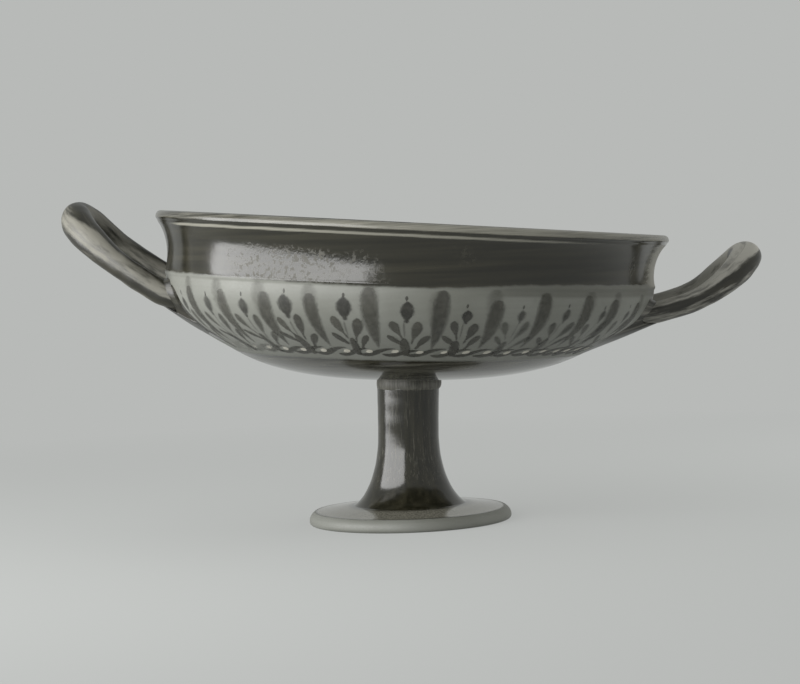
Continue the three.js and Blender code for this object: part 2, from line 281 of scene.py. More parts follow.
def end_tree(tree, shape, material, result):
    """How every tree ends: smooth shading, real faces in place of instances, and the material."""
    shape = add_node(tree, "GeometryNodeSetShadeSmooth", {"Geometry": shape})
    shape = add_node(tree, "GeometryNodeRealizeInstances", {"Geometry": shape})
    shape = add_node(tree, "GeometryNodeSetMaterial", {"Geometry": shape, "Material": material})
    tree.links.new(shape.outputs[0], result)
    print(f"{tree.name}: a tree of {len(tree.nodes)} nodes")


def make_piece(name, tree, source, **sizes):
    """Runs a tree on a mesh and keeps the result as a plain mesh, with no modifier left."""
    piece = bpy.data.objects.new(name, source)
    scene.collection.objects.link(piece)
    modifier = piece.modifiers.new("shape", "NODES")
    modifier.node_group = tree
    for item in tree.interface.items_tree:
        if item.in_out == "INPUT" and item.name in sizes:
            modifier[item.identifier] = sizes[item.name]
    depsgraph = bpy.context.evaluated_depsgraph_get()
    mesh = bpy.data.meshes.new_from_object(piece.evaluated_get(depsgraph), depsgraph=depsgraph)
    piece.modifiers.remove(modifier)
    piece.data = mesh
    mesh.name = name
    return piece


# %% Reading and writing many points at once
def points_of(mesh):
    flat = np.empty(len(mesh.vertices) * 3)
    mesh.vertices.foreach_get("co", flat)
    return flat.reshape(-1, 3)


def move_points(mesh, points):
    mesh.vertices.foreach_set("co", np.ascontiguousarray(points, np.float32).ravel())
    mesh.update()


def numbers_of(mesh, name):
    flat = np.empty(len(mesh.attributes[name].data))
    mesh.attributes[name].data.foreach_get("value", flat)
    return flat


def write_numbers(mesh, name, values, kind="FLOAT"):
    field = "value" if kind != "FLOAT_VECTOR" else "vector"
    values = np.ascontiguousarray(values, np.int32 if kind == "INT" else np.float32)
    mesh.attributes.new(name, kind, "POINT").data.foreach_set(field, values.ravel())


def enclosed_volume(mesh):
    """The volume inside a closed mesh. It is negative where the faces point inwards."""
    mesh.calc_loop_triangles()
    corners = np.empty(len(mesh.loop_triangles) * 3, np.int32)
    mesh.loop_triangles.foreach_get("vertices", corners)
    a, b, c = points_of(mesh)[corners.reshape(-1, 3)].transpose(1, 0, 2)
    return float(np.einsum("ij,ij->i", a, np.cross(b, c)).sum() / 6)


def seat(piece, slot, *nodes):
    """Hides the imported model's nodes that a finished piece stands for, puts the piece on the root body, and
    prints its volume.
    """
    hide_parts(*nodes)
    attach(piece, "root")
    print(f"{piece.name}: {len(piece.data.polygons)} faces, {enclosed_volume(piece.data) * 1e6:.2f} cm3")


# %% [markdown]
# ## The potter's wheel
# The bowl, the foot with its stem and the ring between them were all thrown, so one tree makes them
# all. It lays out a grid, with one column of points for each step round the axis, and moves each point
# to its place on the turned line. Blender's Screw or Spin would turn the line too, but here
# the spiral of the potter's fingers can be added in the same step, as a height along each point's own
# side. The seam and the poles are welded at the end.

# %% The wheel as a tree
wheel, given, result = start_tree("potters_wheel", {
    "Steps Round": "Int", "Ring Depth": "Float", "Ring Spacing": "Float", "Material": "Material",
})
turned_line = given["Geometry"]
count = add_node(wheel, "GeometryNodeAttributeDomainSize", {"Geometry": turned_line}, component="MESH")
columns = add_node(wheel, "ShaderNodeMath", {0: given["Steps Round"], 1: 1.0})
grid = add_node(wheel, "GeometryNodeMeshGrid", {"Vertices X": columns, "Vertices Y": count})
index = add_node(wheel, "GeometryNodeInputIndex")
column = add_node(wheel, "ShaderNodeMath", {0: index, 1: count}, operation="DIVIDE")
column = add_node(wheel, "ShaderNodeMath", {0: column}, operation="FLOOR")
on_line = add_node(wheel, "ShaderNodeMath", {0: index, 1: count}, operation="MODULO")
turn = add_node(wheel, "ShaderNodeMath", {0: column, 1: given["Steps Round"]}, operation="DIVIDE")
turn = add_node(wheel, "ShaderNodeMath", {0: turn, 1: math.tau}, operation="MULTIPLY")

picked = {}
for name, kind in {"place": "FLOAT_VECTOR", "side": "FLOAT_VECTOR", "run": "FLOAT", "rings": "FLOAT"}.items():
    field = add_node(wheel, "GeometryNodeInputNamedAttribute", [name], data_type=kind)
    picked[name] = add_node(wheel, "GeometryNodeSampleIndex", [turned_line, field, on_line], data_type=kind)
phase = add_node(wheel, "ShaderNodeMath", [picked["run"], given["Ring Spacing"]], operation="DIVIDE")
phase = add_node(wheel, "ShaderNodeMath", {0: phase, 1: math.tau, 2: turn}, operation="MULTIPLY_ADD")
height = add_node(wheel, "ShaderNodeMath", {0: phase}, operation="SINE")
height = add_node(wheel, "ShaderNodeMath", [height, picked["rings"]], operation="MULTIPLY")
height = add_node(wheel, "ShaderNodeMath", {0: height, 1: given["Ring Depth"]}, operation="MULTIPLY")
spot = add_node(wheel, "ShaderNodeVectorMath", [picked["side"], height, picked["place"]],
                operation="MULTIPLY_ADD")
spot = add_node(wheel, "ShaderNodeVectorRotate", {"Vector": spot, "Angle": turn}, rotation_type="Z_AXIS")
thrown = add_node(wheel, "GeometryNodeSetPosition", {"Geometry": grid, "Position": spot})
kept = {"Geometry": thrown, "Name": "run", "Value": picked["run"]}
thrown = add_node(wheel, "GeometryNodeStoreNamedAttribute", kept, data_type="FLOAT", domain="POINT")
thrown = add_node(wheel, "GeometryNodeMergeByDistance", {"Geometry": thrown, "Distance": 0.002})
end_tree(wheel, thrown, given["Material"], result)

# %% Throwing one shape
def throw(name, line, rings, material, steps_round, ring_depth, ring_spacing):
    """Turns a line on the wheel. The line's front is at -Y, and the piece isn't fired yet."""
    clay = bpy.data.meshes.new(name + "_line")
    places = [(0, -radius, z) for radius, z in line]
    clay.from_pydata(places, [], [])
    write_numbers(clay, "place", places, "FLOAT_VECTOR")
    write_numbers(clay, "side", [(0, -outward, up) for outward, up in side_of(line)], "FLOAT_VECTOR")
    write_numbers(clay, "run", run_of(line))
    write_numbers(clay, "rings", rings)
    sizes = {"Steps Round": steps_round, "Ring Depth": ring_depth, "Ring Spacing": ring_spacing}
    return make_piece(name, wheel, clay, Material=material, **sizes)


# %% [markdown]
# ## Finishes
# Only two surfaces meet the eye: the fired clay, and the black gloss, which is a very fine slip that
# turned glassy in the kiln. Each gets a function that builds its colour, roughness and relief, so that
# one material can hold both, divided where the painter's brush stopped. Blender could also mix two
# finished shaders there, but with values the border has one relief and one shine.

# %% Colours and real sizes
def colour(hex_code):
    """An sRGB colour, as six hex digits, as the linear colour that Blender counts in."""
    parts = [int(hex_code[i:i + 2], 16) / 255 for i in (0, 2, 4)]
    linear = [part / 12.92 if part <= 0.04045 else ((part + 0.055) / 1.055) ** 2.4 for part in parts]
    return (*linear, 1)


def per_metre(size_mm):
    """The texture scale at which a pattern's features are this many millimetres wide."""
    return 1000 / size_mm


# %% Fired clay
# Fine clay, thrown, burnished when leather-hard and fired, with no glass on it. The eye sees a matt
# surface with a faint sheen, a little uneven in tone: broad soft blotches, small stains, the burnisher's
# thin lines round the cup, and the clay's own grain. The cup is shown in greys, so its clay is one too.
CLAY_PALE = "70716B"
CLAY_DEEP = "62635C"
CLAY_STAIN = "4D4D46"


def fired_clay(tree, coords, turned_coords):
    """Colour, roughness and relief in mm of the bare clay."""
    blotch = add_node(tree, "ShaderNodeTexNoise", [coords, per_metre(34), 3])
    stains = add_node(tree, "ShaderNodeTexNoise", [coords, per_metre(9), 4, 0.65])
    lines = add_node(tree, "ShaderNodeTexNoise", [turned_coords, per_metre(1.4), 3, 0.6])
    grain = add_node(tree, "ShaderNodeTexNoise", [coords, per_metre(0.7), 3, 0.7])
    tint = add_node(tree, "ShaderNodeMapRange", [blotch, 0.35, 0.68])
    tint = add_node(tree, "ShaderNodeMix", [tint, colour(CLAY_PALE), colour(CLAY_DEEP)], data_type="RGBA")
    darkened = ((stains, 0.6, 0.78, 0.35), (lines, 0.3, 0.7, 0.16), (grain, 0.58, 0.75, 0.3))
    for source, low, high, most in darkened:
        share = add_node(tree, "ShaderNodeMapRange", [source, low, high, 0, most])
        tint = add_node(tree, "ShaderNodeMix", [share, tint, colour(CLAY_STAIN)], data_type="RGBA")
    rough = add_node(tree, "ShaderNodeMapRange", [grain, 0.3, 0.7, 0.44, 0.6])
    relief = add_node(tree, "ShaderNodeMath", [grain, 0.03], operation="MULTIPLY")
    relief = add_node(tree, "ShaderNodeMath", [lines, 0.03, relief], operation="MULTIPLY_ADD")
    return tint, rough, relief


# %% Black gloss
# The finest part of the same clay, brushed on as a slip and sintered in the kiln to a thin black glass.
# It gives sharp, slightly wavy reflections. Where the brush left it thin it is browner, in streaks, and
# where it boiled it is pitted, paler and dull. Burnish is 1 where the surface was polished smooth, 0
# where it is plain, and below 0 where it has lost its shine.
GLOSS_BLACK = "18170F"
GLOSS_THIN = "2A281E"
GLOSS_PITTED = "3A382F"
PEEL_SIZE = 3.2  # mm between the soft swells of the melted slip
PIT_SIZE = 1.9  # mm between the pits, a little coarser than the real ones


def black_gloss(tree, coords, streak_coords):
    """Colour, roughness and relief in mm of the gloss."""
    burnish = add_node(tree, "ShaderNodeAttribute", attribute_name="burnish").outputs["Fac"]
    cloud = add_node(tree, "ShaderNodeTexNoise", [coords, per_metre(26), 3, 0.55])
    streaks = add_node(tree, "ShaderNodeTexNoise", [streak_coords, per_metre(2.6), 3, 0.6])
    peel = add_node(tree, "ShaderNodeTexNoise", [coords, per_metre(PEEL_SIZE), 2, 0.5])
    boil = add_node(tree, "ShaderNodeTexNoise", [coords, per_metre(PIT_SIZE), 3, 0.65])
    tint = add_node(tree, "ShaderNodeMapRange", [streaks, 0.4, 0.72])
    tint = add_node(tree, "ShaderNodeMix", [tint, colour(GLOSS_BLACK), colour(GLOSS_THIN)], data_type="RGBA")
    patch = add_node(tree, "ShaderNodeAttribute", attribute_name="pitting").outputs["Fac"]
    patch = add_node(tree, "ShaderNodeMath", [patch, cloud])
    patch = add_node(tree, "ShaderNodeMapRange", [patch, 0.62, 0.82])
    specks = add_node(tree, "ShaderNodeMapRange", [boil, 0.52, 0.6])
    specks = add_node(tree, "ShaderNodeMath", [specks, patch], operation="MULTIPLY")
    tint = add_node(tree, "ShaderNodeMix", [specks, tint, colour(GLOSS_PITTED)], data_type="RGBA")
    rough = add_node(tree, "ShaderNodeMapRange", [cloud, 0.35, 0.7, 0.13, 0.2])
    rough = add_node(tree, "ShaderNodeMath", [specks, 0.4, rough], operation="MULTIPLY_ADD")
    dull = add_node(tree, "ShaderNodeMath", [burnish, -0.75, 1.0], operation="MULTIPLY_ADD")
    rough = add_node(tree, "ShaderNodeMath", [rough, dull], operation="MULTIPLY")
    depth = add_node(tree, "ShaderNodeMapRange", [patch, 0, 1, 0.006, 0.1])
    relief = add_node(tree, "ShaderNodeMath", [peel, 0.03], operation="MULTIPLY")
    relief = add_node(tree, "ShaderNodeMath", [streaks, 0.012, relief], operation="MULTIPLY_ADD")
    relief = add_node(tree, "ShaderNodeMath", [boil, depth, relief], operation="MULTIPLY_ADD")
    calm = add_node(tree, "ShaderNodeMapRange", [burnish, 0, 1, 1, 0.12])
    relief = add_node(tree, "ShaderNodeMath", [relief, calm], operation="MULTIPLY")
    return tint, rough, relief


# %% [markdown]
# The painter held a loaded brush still while the cup turned, so the glossy bands follow the line's
# run. Each thrown piece carries that run in millimetres, and a ramp over it says where gloss is. A
# little noise on the run makes the border wander like a brush. Other attributes add the gloss that was
# dragged over the wall round the handles' roots, a thin wash, the pits, the polish, and a paler grey.
# That grey is where hands and lips wore the gloss away, and elsewhere it paints highlights and
# reflections into the colour. A mask painted in an image would do this too,
# but it would need a picture, and these numbers sit on the mesh.

# %% The material of a painted, thrown piece
def new_material(name):
    material = bpy.data.materials.new(name)
    material.use_nodes = True
    material.node_tree.nodes.clear()
    return material, material.node_tree


CLAY_IOR = 1.57  # of fired clay, and of the glass that its finest part turns to


def finish_surface(tree, tint, rough, relief, alpha=1.0):
    """The shader that every finish ends in. Relief is in millimetres."""
    bump = add_node(tree, "ShaderNodeBump", {"Strength": 1.0, "Distance": MM, "Height": relief})
    looks = {"Base Color": tint, "Roughness": rough, "IOR": CLAY_IOR, "Normal": bump, "Alpha": alpha}
    shader = add_node(tree, "ShaderNodeBsdfPrincipled", looks)
    add_node(tree, "ShaderNodeOutputMaterial", [shader])


ROUND_THE_CUP = (0.03, 0.03, 1)  # squeezes coordinates so that a noise draws lines round the cup
UP_THE_STEM = (1, 1, 0.07)  # and here, lines up the stem
# The paler grey below is gloss that wore thin, and it also paints highlights and reflections where a piece's
# numbers put it.
WORN_GLOSS_AND_SHEEN = "7C7A70"  # gloss rubbed matt, with the clay showing through
BORDER = 0.25  # half the width in mm over which the gloss starts


def painted_pot(name, total_run, bands, strokes):
    """Bands of gloss on clay. Strokes is how coordinates are squeezed to draw out the gloss's streaks."""
    material, tree = new_material(name)
    coords = add_node(tree, "ShaderNodeTexCoord").outputs["Object"]
    turned = add_node(tree, "ShaderNodeMapping", {"Vector": coords, "Scale": ROUND_THE_CUP})
    streaked = add_node(tree, "ShaderNodeMapping", {"Vector": coords, "Scale": strokes})
    clay, gloss = fired_clay(tree, coords, turned), black_gloss(tree, coords, streaked)
    given = {label: add_node(tree, "ShaderNodeAttribute", attribute_name=label).outputs["Fac"]
             for label in ("paint_run", "root_smear", "wash", "wear", "burnish")}
    wander = add_node(tree, "ShaderNodeTexNoise", [coords, per_metre(6), 3, 0.6])
    wander = add_node(tree, "ShaderNodeMapRange", [wander, 0.2, 0.8, -0.45, 0.45])
    share = add_node(tree, "ShaderNodeMath", [given["paint_run"], wander])
    share = add_node(tree, "ShaderNodeMath", [share, total_run], operation="DIVIDE")
    ramp = add_node(tree, "ShaderNodeValToRGB", [share])
    stops = ramp.color_ramp.elements
    stops.remove(stops[1])
    stops[0].position, stops[0].color = 0, (0, 0, 0, 1)
    for first, last in bands:
        edges = {first - BORDER: 0, first + BORDER: 1, last - BORDER: 1, last + BORDER: 0}
        for place, gloss_there in edges.items():
            stops.new(min(1, max(0, place / total_run))).color = (gloss_there,) * 3 + (1,)
    smear = add_node(tree, "ShaderNodeMath", [given["root_smear"], wander])
    smear = add_node(tree, "ShaderNodeMapRange", [smear, -BORDER, BORDER])
    glossy = add_node(tree, "ShaderNodeMath", [ramp, smear], operation="MAXIMUM")
    scuffs = add_node(tree, "ShaderNodeTexNoise", [streaked, per_metre(0.8), 4, 0.7])
    scuffs = add_node(tree, "ShaderNodeMapRange", [scuffs, 0.3, 0.7, -0.22, 0.22])
    # How much of that paler grey: gloss that wore thin, and in places painted highlight and reflection.
    worn_and_sheen = add_node(tree, "ShaderNodeMath", [given["wear"], scuffs])
    worn_and_sheen = add_node(tree, "ShaderNodeMapRange", [worn_and_sheen, 0.3, 0.9, 0, 0.95])
    washed = add_node(tree, "ShaderNodeMix", [given["wash"], clay[0], colour(CLAY_STAIN)], data_type="RGBA")
    tint = add_node(tree, "ShaderNodeMix", [glossy, washed, gloss[0]], data_type="RGBA")
    tint = add_node(tree, "ShaderNodeMix", [worn_and_sheen, tint, colour(WORN_GLOSS_AND_SHEEN)], data_type="RGBA")
    rough = add_node(tree, "ShaderNodeMix", [glossy, clay[1], gloss[1]])
    rubbed_rough = add_node(tree, "ShaderNodeMapRange", [given["burnish"], 0, 1, 0.42, 0.1])
    rough = add_node(tree, "ShaderNodeMix", [worn_and_sheen, rough, rubbed_rough])
    relief = add_node(tree, "ShaderNodeMix", [glossy, clay[2], gloss[2]])
    finish_surface(tree, tint, rough, relief)
    return material


PAINT_LABELS = ("paint_run", "root_smear", "wash", "wear", "pitting", "burnish")
NOWHERE = -20.0  # a root smear's depth where there is none


def write_paint(mesh, **given):
    """Writes all that the material reads. What isn't given is nowhere on the piece."""
    for label in PAINT_LABELS:
        values = given.get(label, NOWHERE if label == "root_smear" else 0.0)
        write_numbers(mesh, label, np.broadcast_to(values, len(mesh.vertices)))


# %% [markdown]
# ## The bowl
# It is black from the lip's lower edge up, over the rim and down the whole inside, but for a thin line
# of clay inside the rim and a small circle on the floor. Below the handle zone it is black again. On
# the wall between is the painted band, on bare clay. Each boundary is a run along the bowl's line.

# %% Where the bowl is black
FLOOR_RUN = bowl_run[-1]
ZONE_RUN = 78.3  # the lower black reaches up to here
bowl_bands = [
    (-2, ZONE_RUN),
    (LIP_RUN, RIM_RUN + 4.6),
    (RIM_RUN + 6.2, FLOOR_RUN - 21),
    (FLOOR_RUN - 16.5, FLOOR_RUN - 15),  # two thin circles on the floor, and a dot in their middle
    (FLOOR_RUN - 4.2, FLOOR_RUN - 3.2),
    (FLOOR_RUN - 1.2, FLOOR_RUN + 2),
]
bowl_finish = painted_pot("black_gloss_and_burnished_clay", FLOOR_RUN, bowl_bands, ROUND_THE_CUP)
bowl = throw("bowl_thrown", bowl_line, bowl_rings, bowl_finish,
             steps_round=216, ring_depth=0.14, ring_spacing=8.5)
print(f"{bowl.name}: {len(bowl.data.vertices)} points, and {len(bowl_bands)} black bands along its line")

# %% [markdown]
# The brush that drew the lip's lower edge didn't run true: in front the black comes down over the ridge
# under the lip, and on the right it stops short, where the ridge has only a thin grey wash. The gloss
# on the bead wore thin, and the lip is pitted in front on the left. A paler grey also paints a highlight
# along the groove, a reflection at the lip's right end, and a reflection in a ring under the belly, and
# makes the rest of the lower belly a little paler. All of these are functions of the angle round the cup
# and of the run, written to the bowl's points. An attribute is right for this, because it sits on the
# mesh and goes with it.

# %% The paint's edges
def turn_of(points):
    """Angle round the cup from the front, -Y, towards the right, +X."""
    return np.arctan2(points[:, 0], -points[:, 1])


raw = points_of(bowl.data)
run = numbers_of(bowl.data, "run")
turn = turn_of(raw)
degrees = np.degrees(turn)
lip_sag = -0.7 - 0.75 * np.tanh((degrees - 18) / 12) + 1.75 * hump(degrees, -6, 26)
near_lip = np.interp(run, [LIP_RUN - 9, LIP_RUN, LIP_RUN + 9], [0, 1, 0])
zone_wander = 0.35 * np.sin(2 * turn + 1) + 0.2 * np.sin(5 * turn)
near_zone = np.interp(run, [ZONE_RUN - 8, ZONE_RUN, ZONE_RUN + 8], [0, 1, 0])
paint_run = run + lip_sag * near_lip + zone_wander * near_zone

right_front = np.interp(degrees, [12, 22], [0, 1]) * (degrees < 110)
on_ridge = np.interp(run, [LIP_RUN - 4.2, LIP_RUN - 3.6, LIP_RUN + 1, LIP_RUN + 2], [0, 1, 1, 0])
wash = 0.75 * right_front * on_ridge
print(f"the lip's edge wanders from {lip_sag.min():.1f} to {lip_sag.max():.1f} mm")

# %% Wear, painted highlights and reflections, pits and polish
# A painted highlight: a paler line along the groove under the bead, strongest on the left, under the window.
painted_groove_highlight = hump(run, GROOVE_RUN - 1.4, 0.85) * np.interp(degrees, [-72, -60, 15, 40], [0, 1.05, 1, 0.35])
on_bead = np.interp(run, [GROOVE_RUN + 0.6, GROOVE_RUN + 1.4, RIM_RUN + 1.5, RIM_RUN + 3], [0, 1, 1, 0])
worn_bead = on_bead * np.interp(degrees, [-70, -40, -12, 25, 60, 100], [0.42, 0.48, 0.8, 0.85, 0.62, 0.62])
on_lip = np.interp(run, [LIP_RUN - 1, LIP_RUN + 1], [0, 1]) * (run < GROOVE_RUN - 1)
# A painted reflection: the lip's right end, where the gloss grazes the bright background, is made paler.
painted_end_reflection = hump(degrees, 79, 11) * on_lip
# A paler ring under the belly, at runs 20 to 37, paints the floor's reflection at a grazing angle, and the
# rest of the lower belly is a little paler.
painted_belly_ring_and_paler_belly = np.interp(run, [20, 23, 33, 37, 76, 79], [0, 1, 1, 0.4, 0.4, 0])
# One number holds them all: the bead's gloss that wore thin, and painted light elsewhere.
wear = np.max([painted_groove_highlight, worn_bead, painted_end_reflection, painted_belly_ring_and_paler_belly], axis=0)
on_low_lip = np.interp(run, [LIP_RUN - 4, LIP_RUN - 1, GROOVE_RUN - 13, GROOVE_RUN - 7], [0, 1, 1, 0])
pitting = 0.42 * hump(degrees, -25, 17) * on_low_lip
burnish = np.interp(run, [60, 70], [1, 0])
print(f"lip edge at run {LIP_RUN:.1f}, rim at {RIM_RUN:.1f}, floor's middle at {FLOOR_RUN:.1f} mm")

# %% [markdown]
# ## The handles
# Each was a rolled bar of clay, bent to a horseshoe and pressed on. Its centre line is a formula: seen
# from above, a squarish half ellipse, and from the side, a rise that starts gently at the wall and gets
# steeper. The bar is thicker at the end of the loop. Curve to Mesh is the plain way to put a round
# section on a line, and a low noise on the result leaves the dents of a hand-rolled bar.

# %% A handle's centre line
ROOT_SPREAD = 50  # between the two roots
TIP_REACH = 40  # from the shoulder out to the tip
SQUARENESS = 2.5  # 2 would be an ellipse
BAR_RADIUS = 5
TIP_BAR_RADIUS = 6.9
SWELL_LENGTH = 22  # over which the bar thickens towards the tip
LEG_INSIDE = 6  # a leg starts this far inside the wall's face
BAR_STEP = 1.0  # between the rings of points along a bar
# Turn is round the cup, drop is from the shoulder down to the roots, rise is from the shoulder up to the
# tip, and back lift is how much higher the back leg lies.
HANDLES = {
    "right": dict(turn=0, drop=10.7, root_angle=17, rise=18.6, tip_angle=55, back_lift=0.5),
    "left": dict(turn=math.pi, drop=6.4, root_angle=27, rise=21, tip_angle=39, back_lift=4.4),
}


def wall_radius(z, depth=0.0):
    """Radius of the bowl's outside at a height, or of the surface this deep inside its wall."""
    line = belly[RISING] - side_of(belly)[RISING] * depth
    return np.interp(z, line[:, 1], line[:, 0])


def ease(share):
    """0 to 1 with a soft start and a soft end."""
    share = np.clip(share, 0, 1)
    return share ** 2 * (3 - 2 * share)


class HandleLine:
    """The centre line of one handle, lying on the +X side, in millimetres."""

    def __init__(self, turn, drop, root_angle, rise, tip_angle, back_lift):
        self.turn = turn
        self.root_z = SHOULDER[1] - drop
        self.root_x = math.sqrt(wall_radius(self.root_z) ** 2 - (ROOT_SPREAD / 2) ** 2)
        self.tip = np.array([SHOULDER[0] + TIP_REACH, SHOULDER[1] + rise])
        self.root_slope = math.tan(math.radians(root_angle))
        self.tip_slope = math.tan(math.radians(tip_angle))
        self.skew = (-1 if turn else 1) * back_lift / ROOT_SPREAD

    def height(self, x, y):
        """A cubic from root to tip that keeps the slope of each."""
        reach = self.tip[0] - self.root_x
        share = np.clip((x - self.root_x) / reach, 0, 1)
        rest = 1 - share
        z = self.root_z + ease(share) * (self.tip[1] - self.root_z)
        z += share * rest * reach * (rest * self.root_slope - share * self.tip_slope)
        inside = np.minimum(0, x - self.root_x) * self.root_slope
        return z + inside + y * self.skew

    def points(self):
        """Evenly spaced points from inside the wall, round the loop, and back into it."""
        sweep = np.linspace(0, math.pi, 400)
        power = 2 / SQUARENESS
        x = self.root_x + (self.tip[0] - self.root_x) * np.sin(sweep).clip(0) ** power
        y = -np.sign(np.cos(sweep)) * np.abs(np.cos(sweep)) ** power * ROOT_SPREAD / 2
        x = np.r_[self.root_x - LEG_INSIDE, x, self.root_x - LEG_INSIDE]
        y = np.r_[y[0], y, y[-1]]
        uneven = np.stack([x, y, self.height(x, y)], 1)
        run = run_of(uneven)
        even = np.linspace(0, run[-1], int(run[-1] / BAR_STEP) + 1)
        return np.stack([np.interp(even, run, axis) for axis in uneven.T], 1)


for side, facts in HANDLES.items():
    print(f"{side} handle: {run_of(HandleLine(**facts).points())[-1]:.0f} mm of bar")

# %% The rolled bar as a tree
roll, given, result = start_tree("rolled_bar", {
    "Sides": "Int", "Dent Depth": "Float", "Dent Size": "Float", "Seed": "Float", "Material": "Material",
})
spine = add_node(roll, "GeometryNodeMeshToCurve", {"Mesh": given["Geometry"]})
along = add_node(roll, "GeometryNodeSplineParameter").outputs["Length"]
spine = add_node(roll, "GeometryNodeStoreNamedAttribute",
                 {"Geometry": spine, "Name": "along", "Value": along}, data_type="FLOAT", domain="POINT")
ring = add_node(roll, "GeometryNodeCurvePrimitiveCircle", {"Resolution": given["Sides"], "Radius": 1.0})
thick = add_node(roll, "GeometryNodeInputNamedAttribute", {"Name": "bar_radius"}, data_type="FLOAT")
bar = add_node(roll, "GeometryNodeCurveToMesh",
               {"Curve": spine, "Profile Curve": ring, "Scale": thick, "Fill Caps": True})
here = add_node(roll, "GeometryNodeInputPosition")
scale = add_node(roll, "ShaderNodeMath", {0: 1.0, 1: given["Dent Size"]}, operation="DIVIDE")
dents = add_node(roll, "ShaderNodeTexNoise",
                 {"Vector": here, "W": given["Seed"], "Scale": scale, "Detail": 1.0}, noise_dimensions="4D")
depth = add_node(roll, "ShaderNodeMath", {0: dents, 1: 0.5}, operation="SUBTRACT")
depth = add_node(roll, "ShaderNodeMath", {0: depth, 1: given["Dent Depth"]}, operation="MULTIPLY")
normal = add_node(roll, "GeometryNodeInputNormal")
push = add_node(roll, "ShaderNodeVectorMath", {0: normal, "Scale": depth}, operation="SCALE")
bar = add_node(roll, "GeometryNodeSetPosition", {"Geometry": bar, "Offset": push})
end_tree(roll, bar, given["Material"], result)

# %% [markdown]
# The gloss on a handle was brushed along the bar, so its streaks follow it. Object coordinates can't
# turn with a bent bar. Each point therefore gets coordinates of its own: its place on the bar's round
# section, and its distance along the bar, squeezed so that a noise is drawn out into streaks.

# %% The handles' finish
# The same black gloss, brushed along a hand-rolled bar and then handled for many years. The eye sees it
# streaked and furrowed along the bar, and dark where it ran thick. Its strips of dull paler grey are
# partly where fingers wore it and partly painted highlight and reflection. Each handle has its own grey:
# the left one's, in the window's light, is darker, and the right one's, which the window hardly reaches,
# is lighter.
HANDLE_RUBBED_AND_SHEEN = {"left": "6C6A61", "right": "94928A"}


def handle_finish(side):
    material, tree = new_material(f"black_gloss_brushed_along_{side}_handle")
    coords = add_node(tree, "ShaderNodeTexCoord").outputs["Object"]
    along_bar = add_node(tree, "ShaderNodeAttribute", attribute_name="bar_place").outputs["Vector"]
    tint, rough, relief = black_gloss(tree, coords, along_bar)
    # The paler grey, partly gloss that wore thin and partly painted highlight and reflection, read from the
    # bar's points.
    held_and_sheen = add_node(tree, "ShaderNodeAttribute", attribute_name="rubbed").outputs["Fac"]
    patches = add_node(tree, "ShaderNodeTexNoise", [along_bar, per_metre(2.4), 4, 0.62])
    patches = add_node(tree, "ShaderNodeMapRange", [patches, 0.3, 0.7, -0.45, 0.45])
    rubbed = add_node(tree, "ShaderNodeMath", [held_and_sheen, patches])
    rubbed = add_node(tree, "ShaderNodeMapRange", [rubbed, 0.2, 0.8, 0.0, 0.9])
    tint = add_node(tree, "ShaderNodeMix", [rubbed, tint, colour(HANDLE_RUBBED_AND_SHEEN[side])], data_type="RGBA")
    rough = add_node(tree, "ShaderNodeMath", [rubbed, 0.32, rough], operation="MULTIPLY_ADD")
    furrows = add_node(tree, "ShaderNodeTexNoise", [along_bar, per_metre(2.2), 3, 0.6])
    relief = add_node(tree, "ShaderNodeMath", [furrows, 0.07, relief], operation="MULTIPLY_ADD")
    finish_surface(tree, tint, rough, relief)
    return material


gloss_on_handles = {side: handle_finish(side) for side in HANDLES}
print("finishes:", ", ".join(material.name for material in gloss_on_handles.values()))

# %% [markdown]
# A leg doesn't stop at the wall: the potter scored the wall, wetted it and pressed the leg on. The bar
# made by the tree ends flat, so its last stretch is drawn out to a surface in the middle of the wall's
# thickness. A boolean cut would do that too, but this keeps the bar's even rings.

# %% A leg's end, and what the handles' finish reads
LEG_BLEND = 12  # length over which the end is fitted to the wall
MID_WALL = WALL / 2
HANDLE_BURNISH = -1.6  # duller than plain gloss, from many hands


def fit_to_wall(spots, from_end):
    """Draws a leg's last stretch, lying on the +X side, to the middle of the wall."""
    wall = np.sqrt(wall_radius(spots[:, 2], MID_WALL) ** 2 - spots[:, 1] ** 2)
    free = ease(from_end / LEG_BLEND)
    spots[:, 0] = wall * (1 - free) + spots[:, 0] * free


def write_handle_paint(mesh, bar_place, rubbed):
    """Writes what the handles' finish reads. Bar place is on the round section and along the bar."""
    write_numbers(mesh, "bar_place", bar_place, "FLOAT_VECTOR")
    write_numbers(mesh, "rubbed", rubbed)
    write_numbers(mesh, "burnish", np.full(len(mesh.vertices), HANDLE_BURNISH))


# %% Rolling the two handles
BAR_SIZES = {"Sides": 40, "Dent Depth": 1.1, "Dent Size": 11.0}
DENT_SEED = 3.0
BAR_STRETCH = 0.16  # squeezes the distance along the bar, so that a noise is drawn out into streaks
# Behind this the right handle's back leg takes the paler grey all over: light painted over the shade between
# its two legs.
BACK_LEG_Y = 4  # behind this, the right handle is evenly rubbed
BACK_LEG_PAINTED_LIGHT = 0.9
# How much of the paler grey each handle gets, by height on the bar's round section: -1 is its
# underside and 1 its top. The grey is partly where the gloss wore and partly painted light: on the left
# handle the window's highlight, along the right one's top a reflection of the bright sky. Between the
# lighter strips the gloss ran thick and dark.
RUBBED_AND_SHEEN_BY_HEIGHT = {
    "right": ([-1, -0.1, 0.05, 0.4, 0.55, 1], [0.34, 0.3, -0.1, -0.1, 0.85, 0.9]),
    "left": ([-1, -0.85, -0.65, -0.3, -0.1, 0.6, 0.8, 1], [0.6, 0.4, 0, 0.1, 0.6, 0.7, 0.2, 0.1]),
}


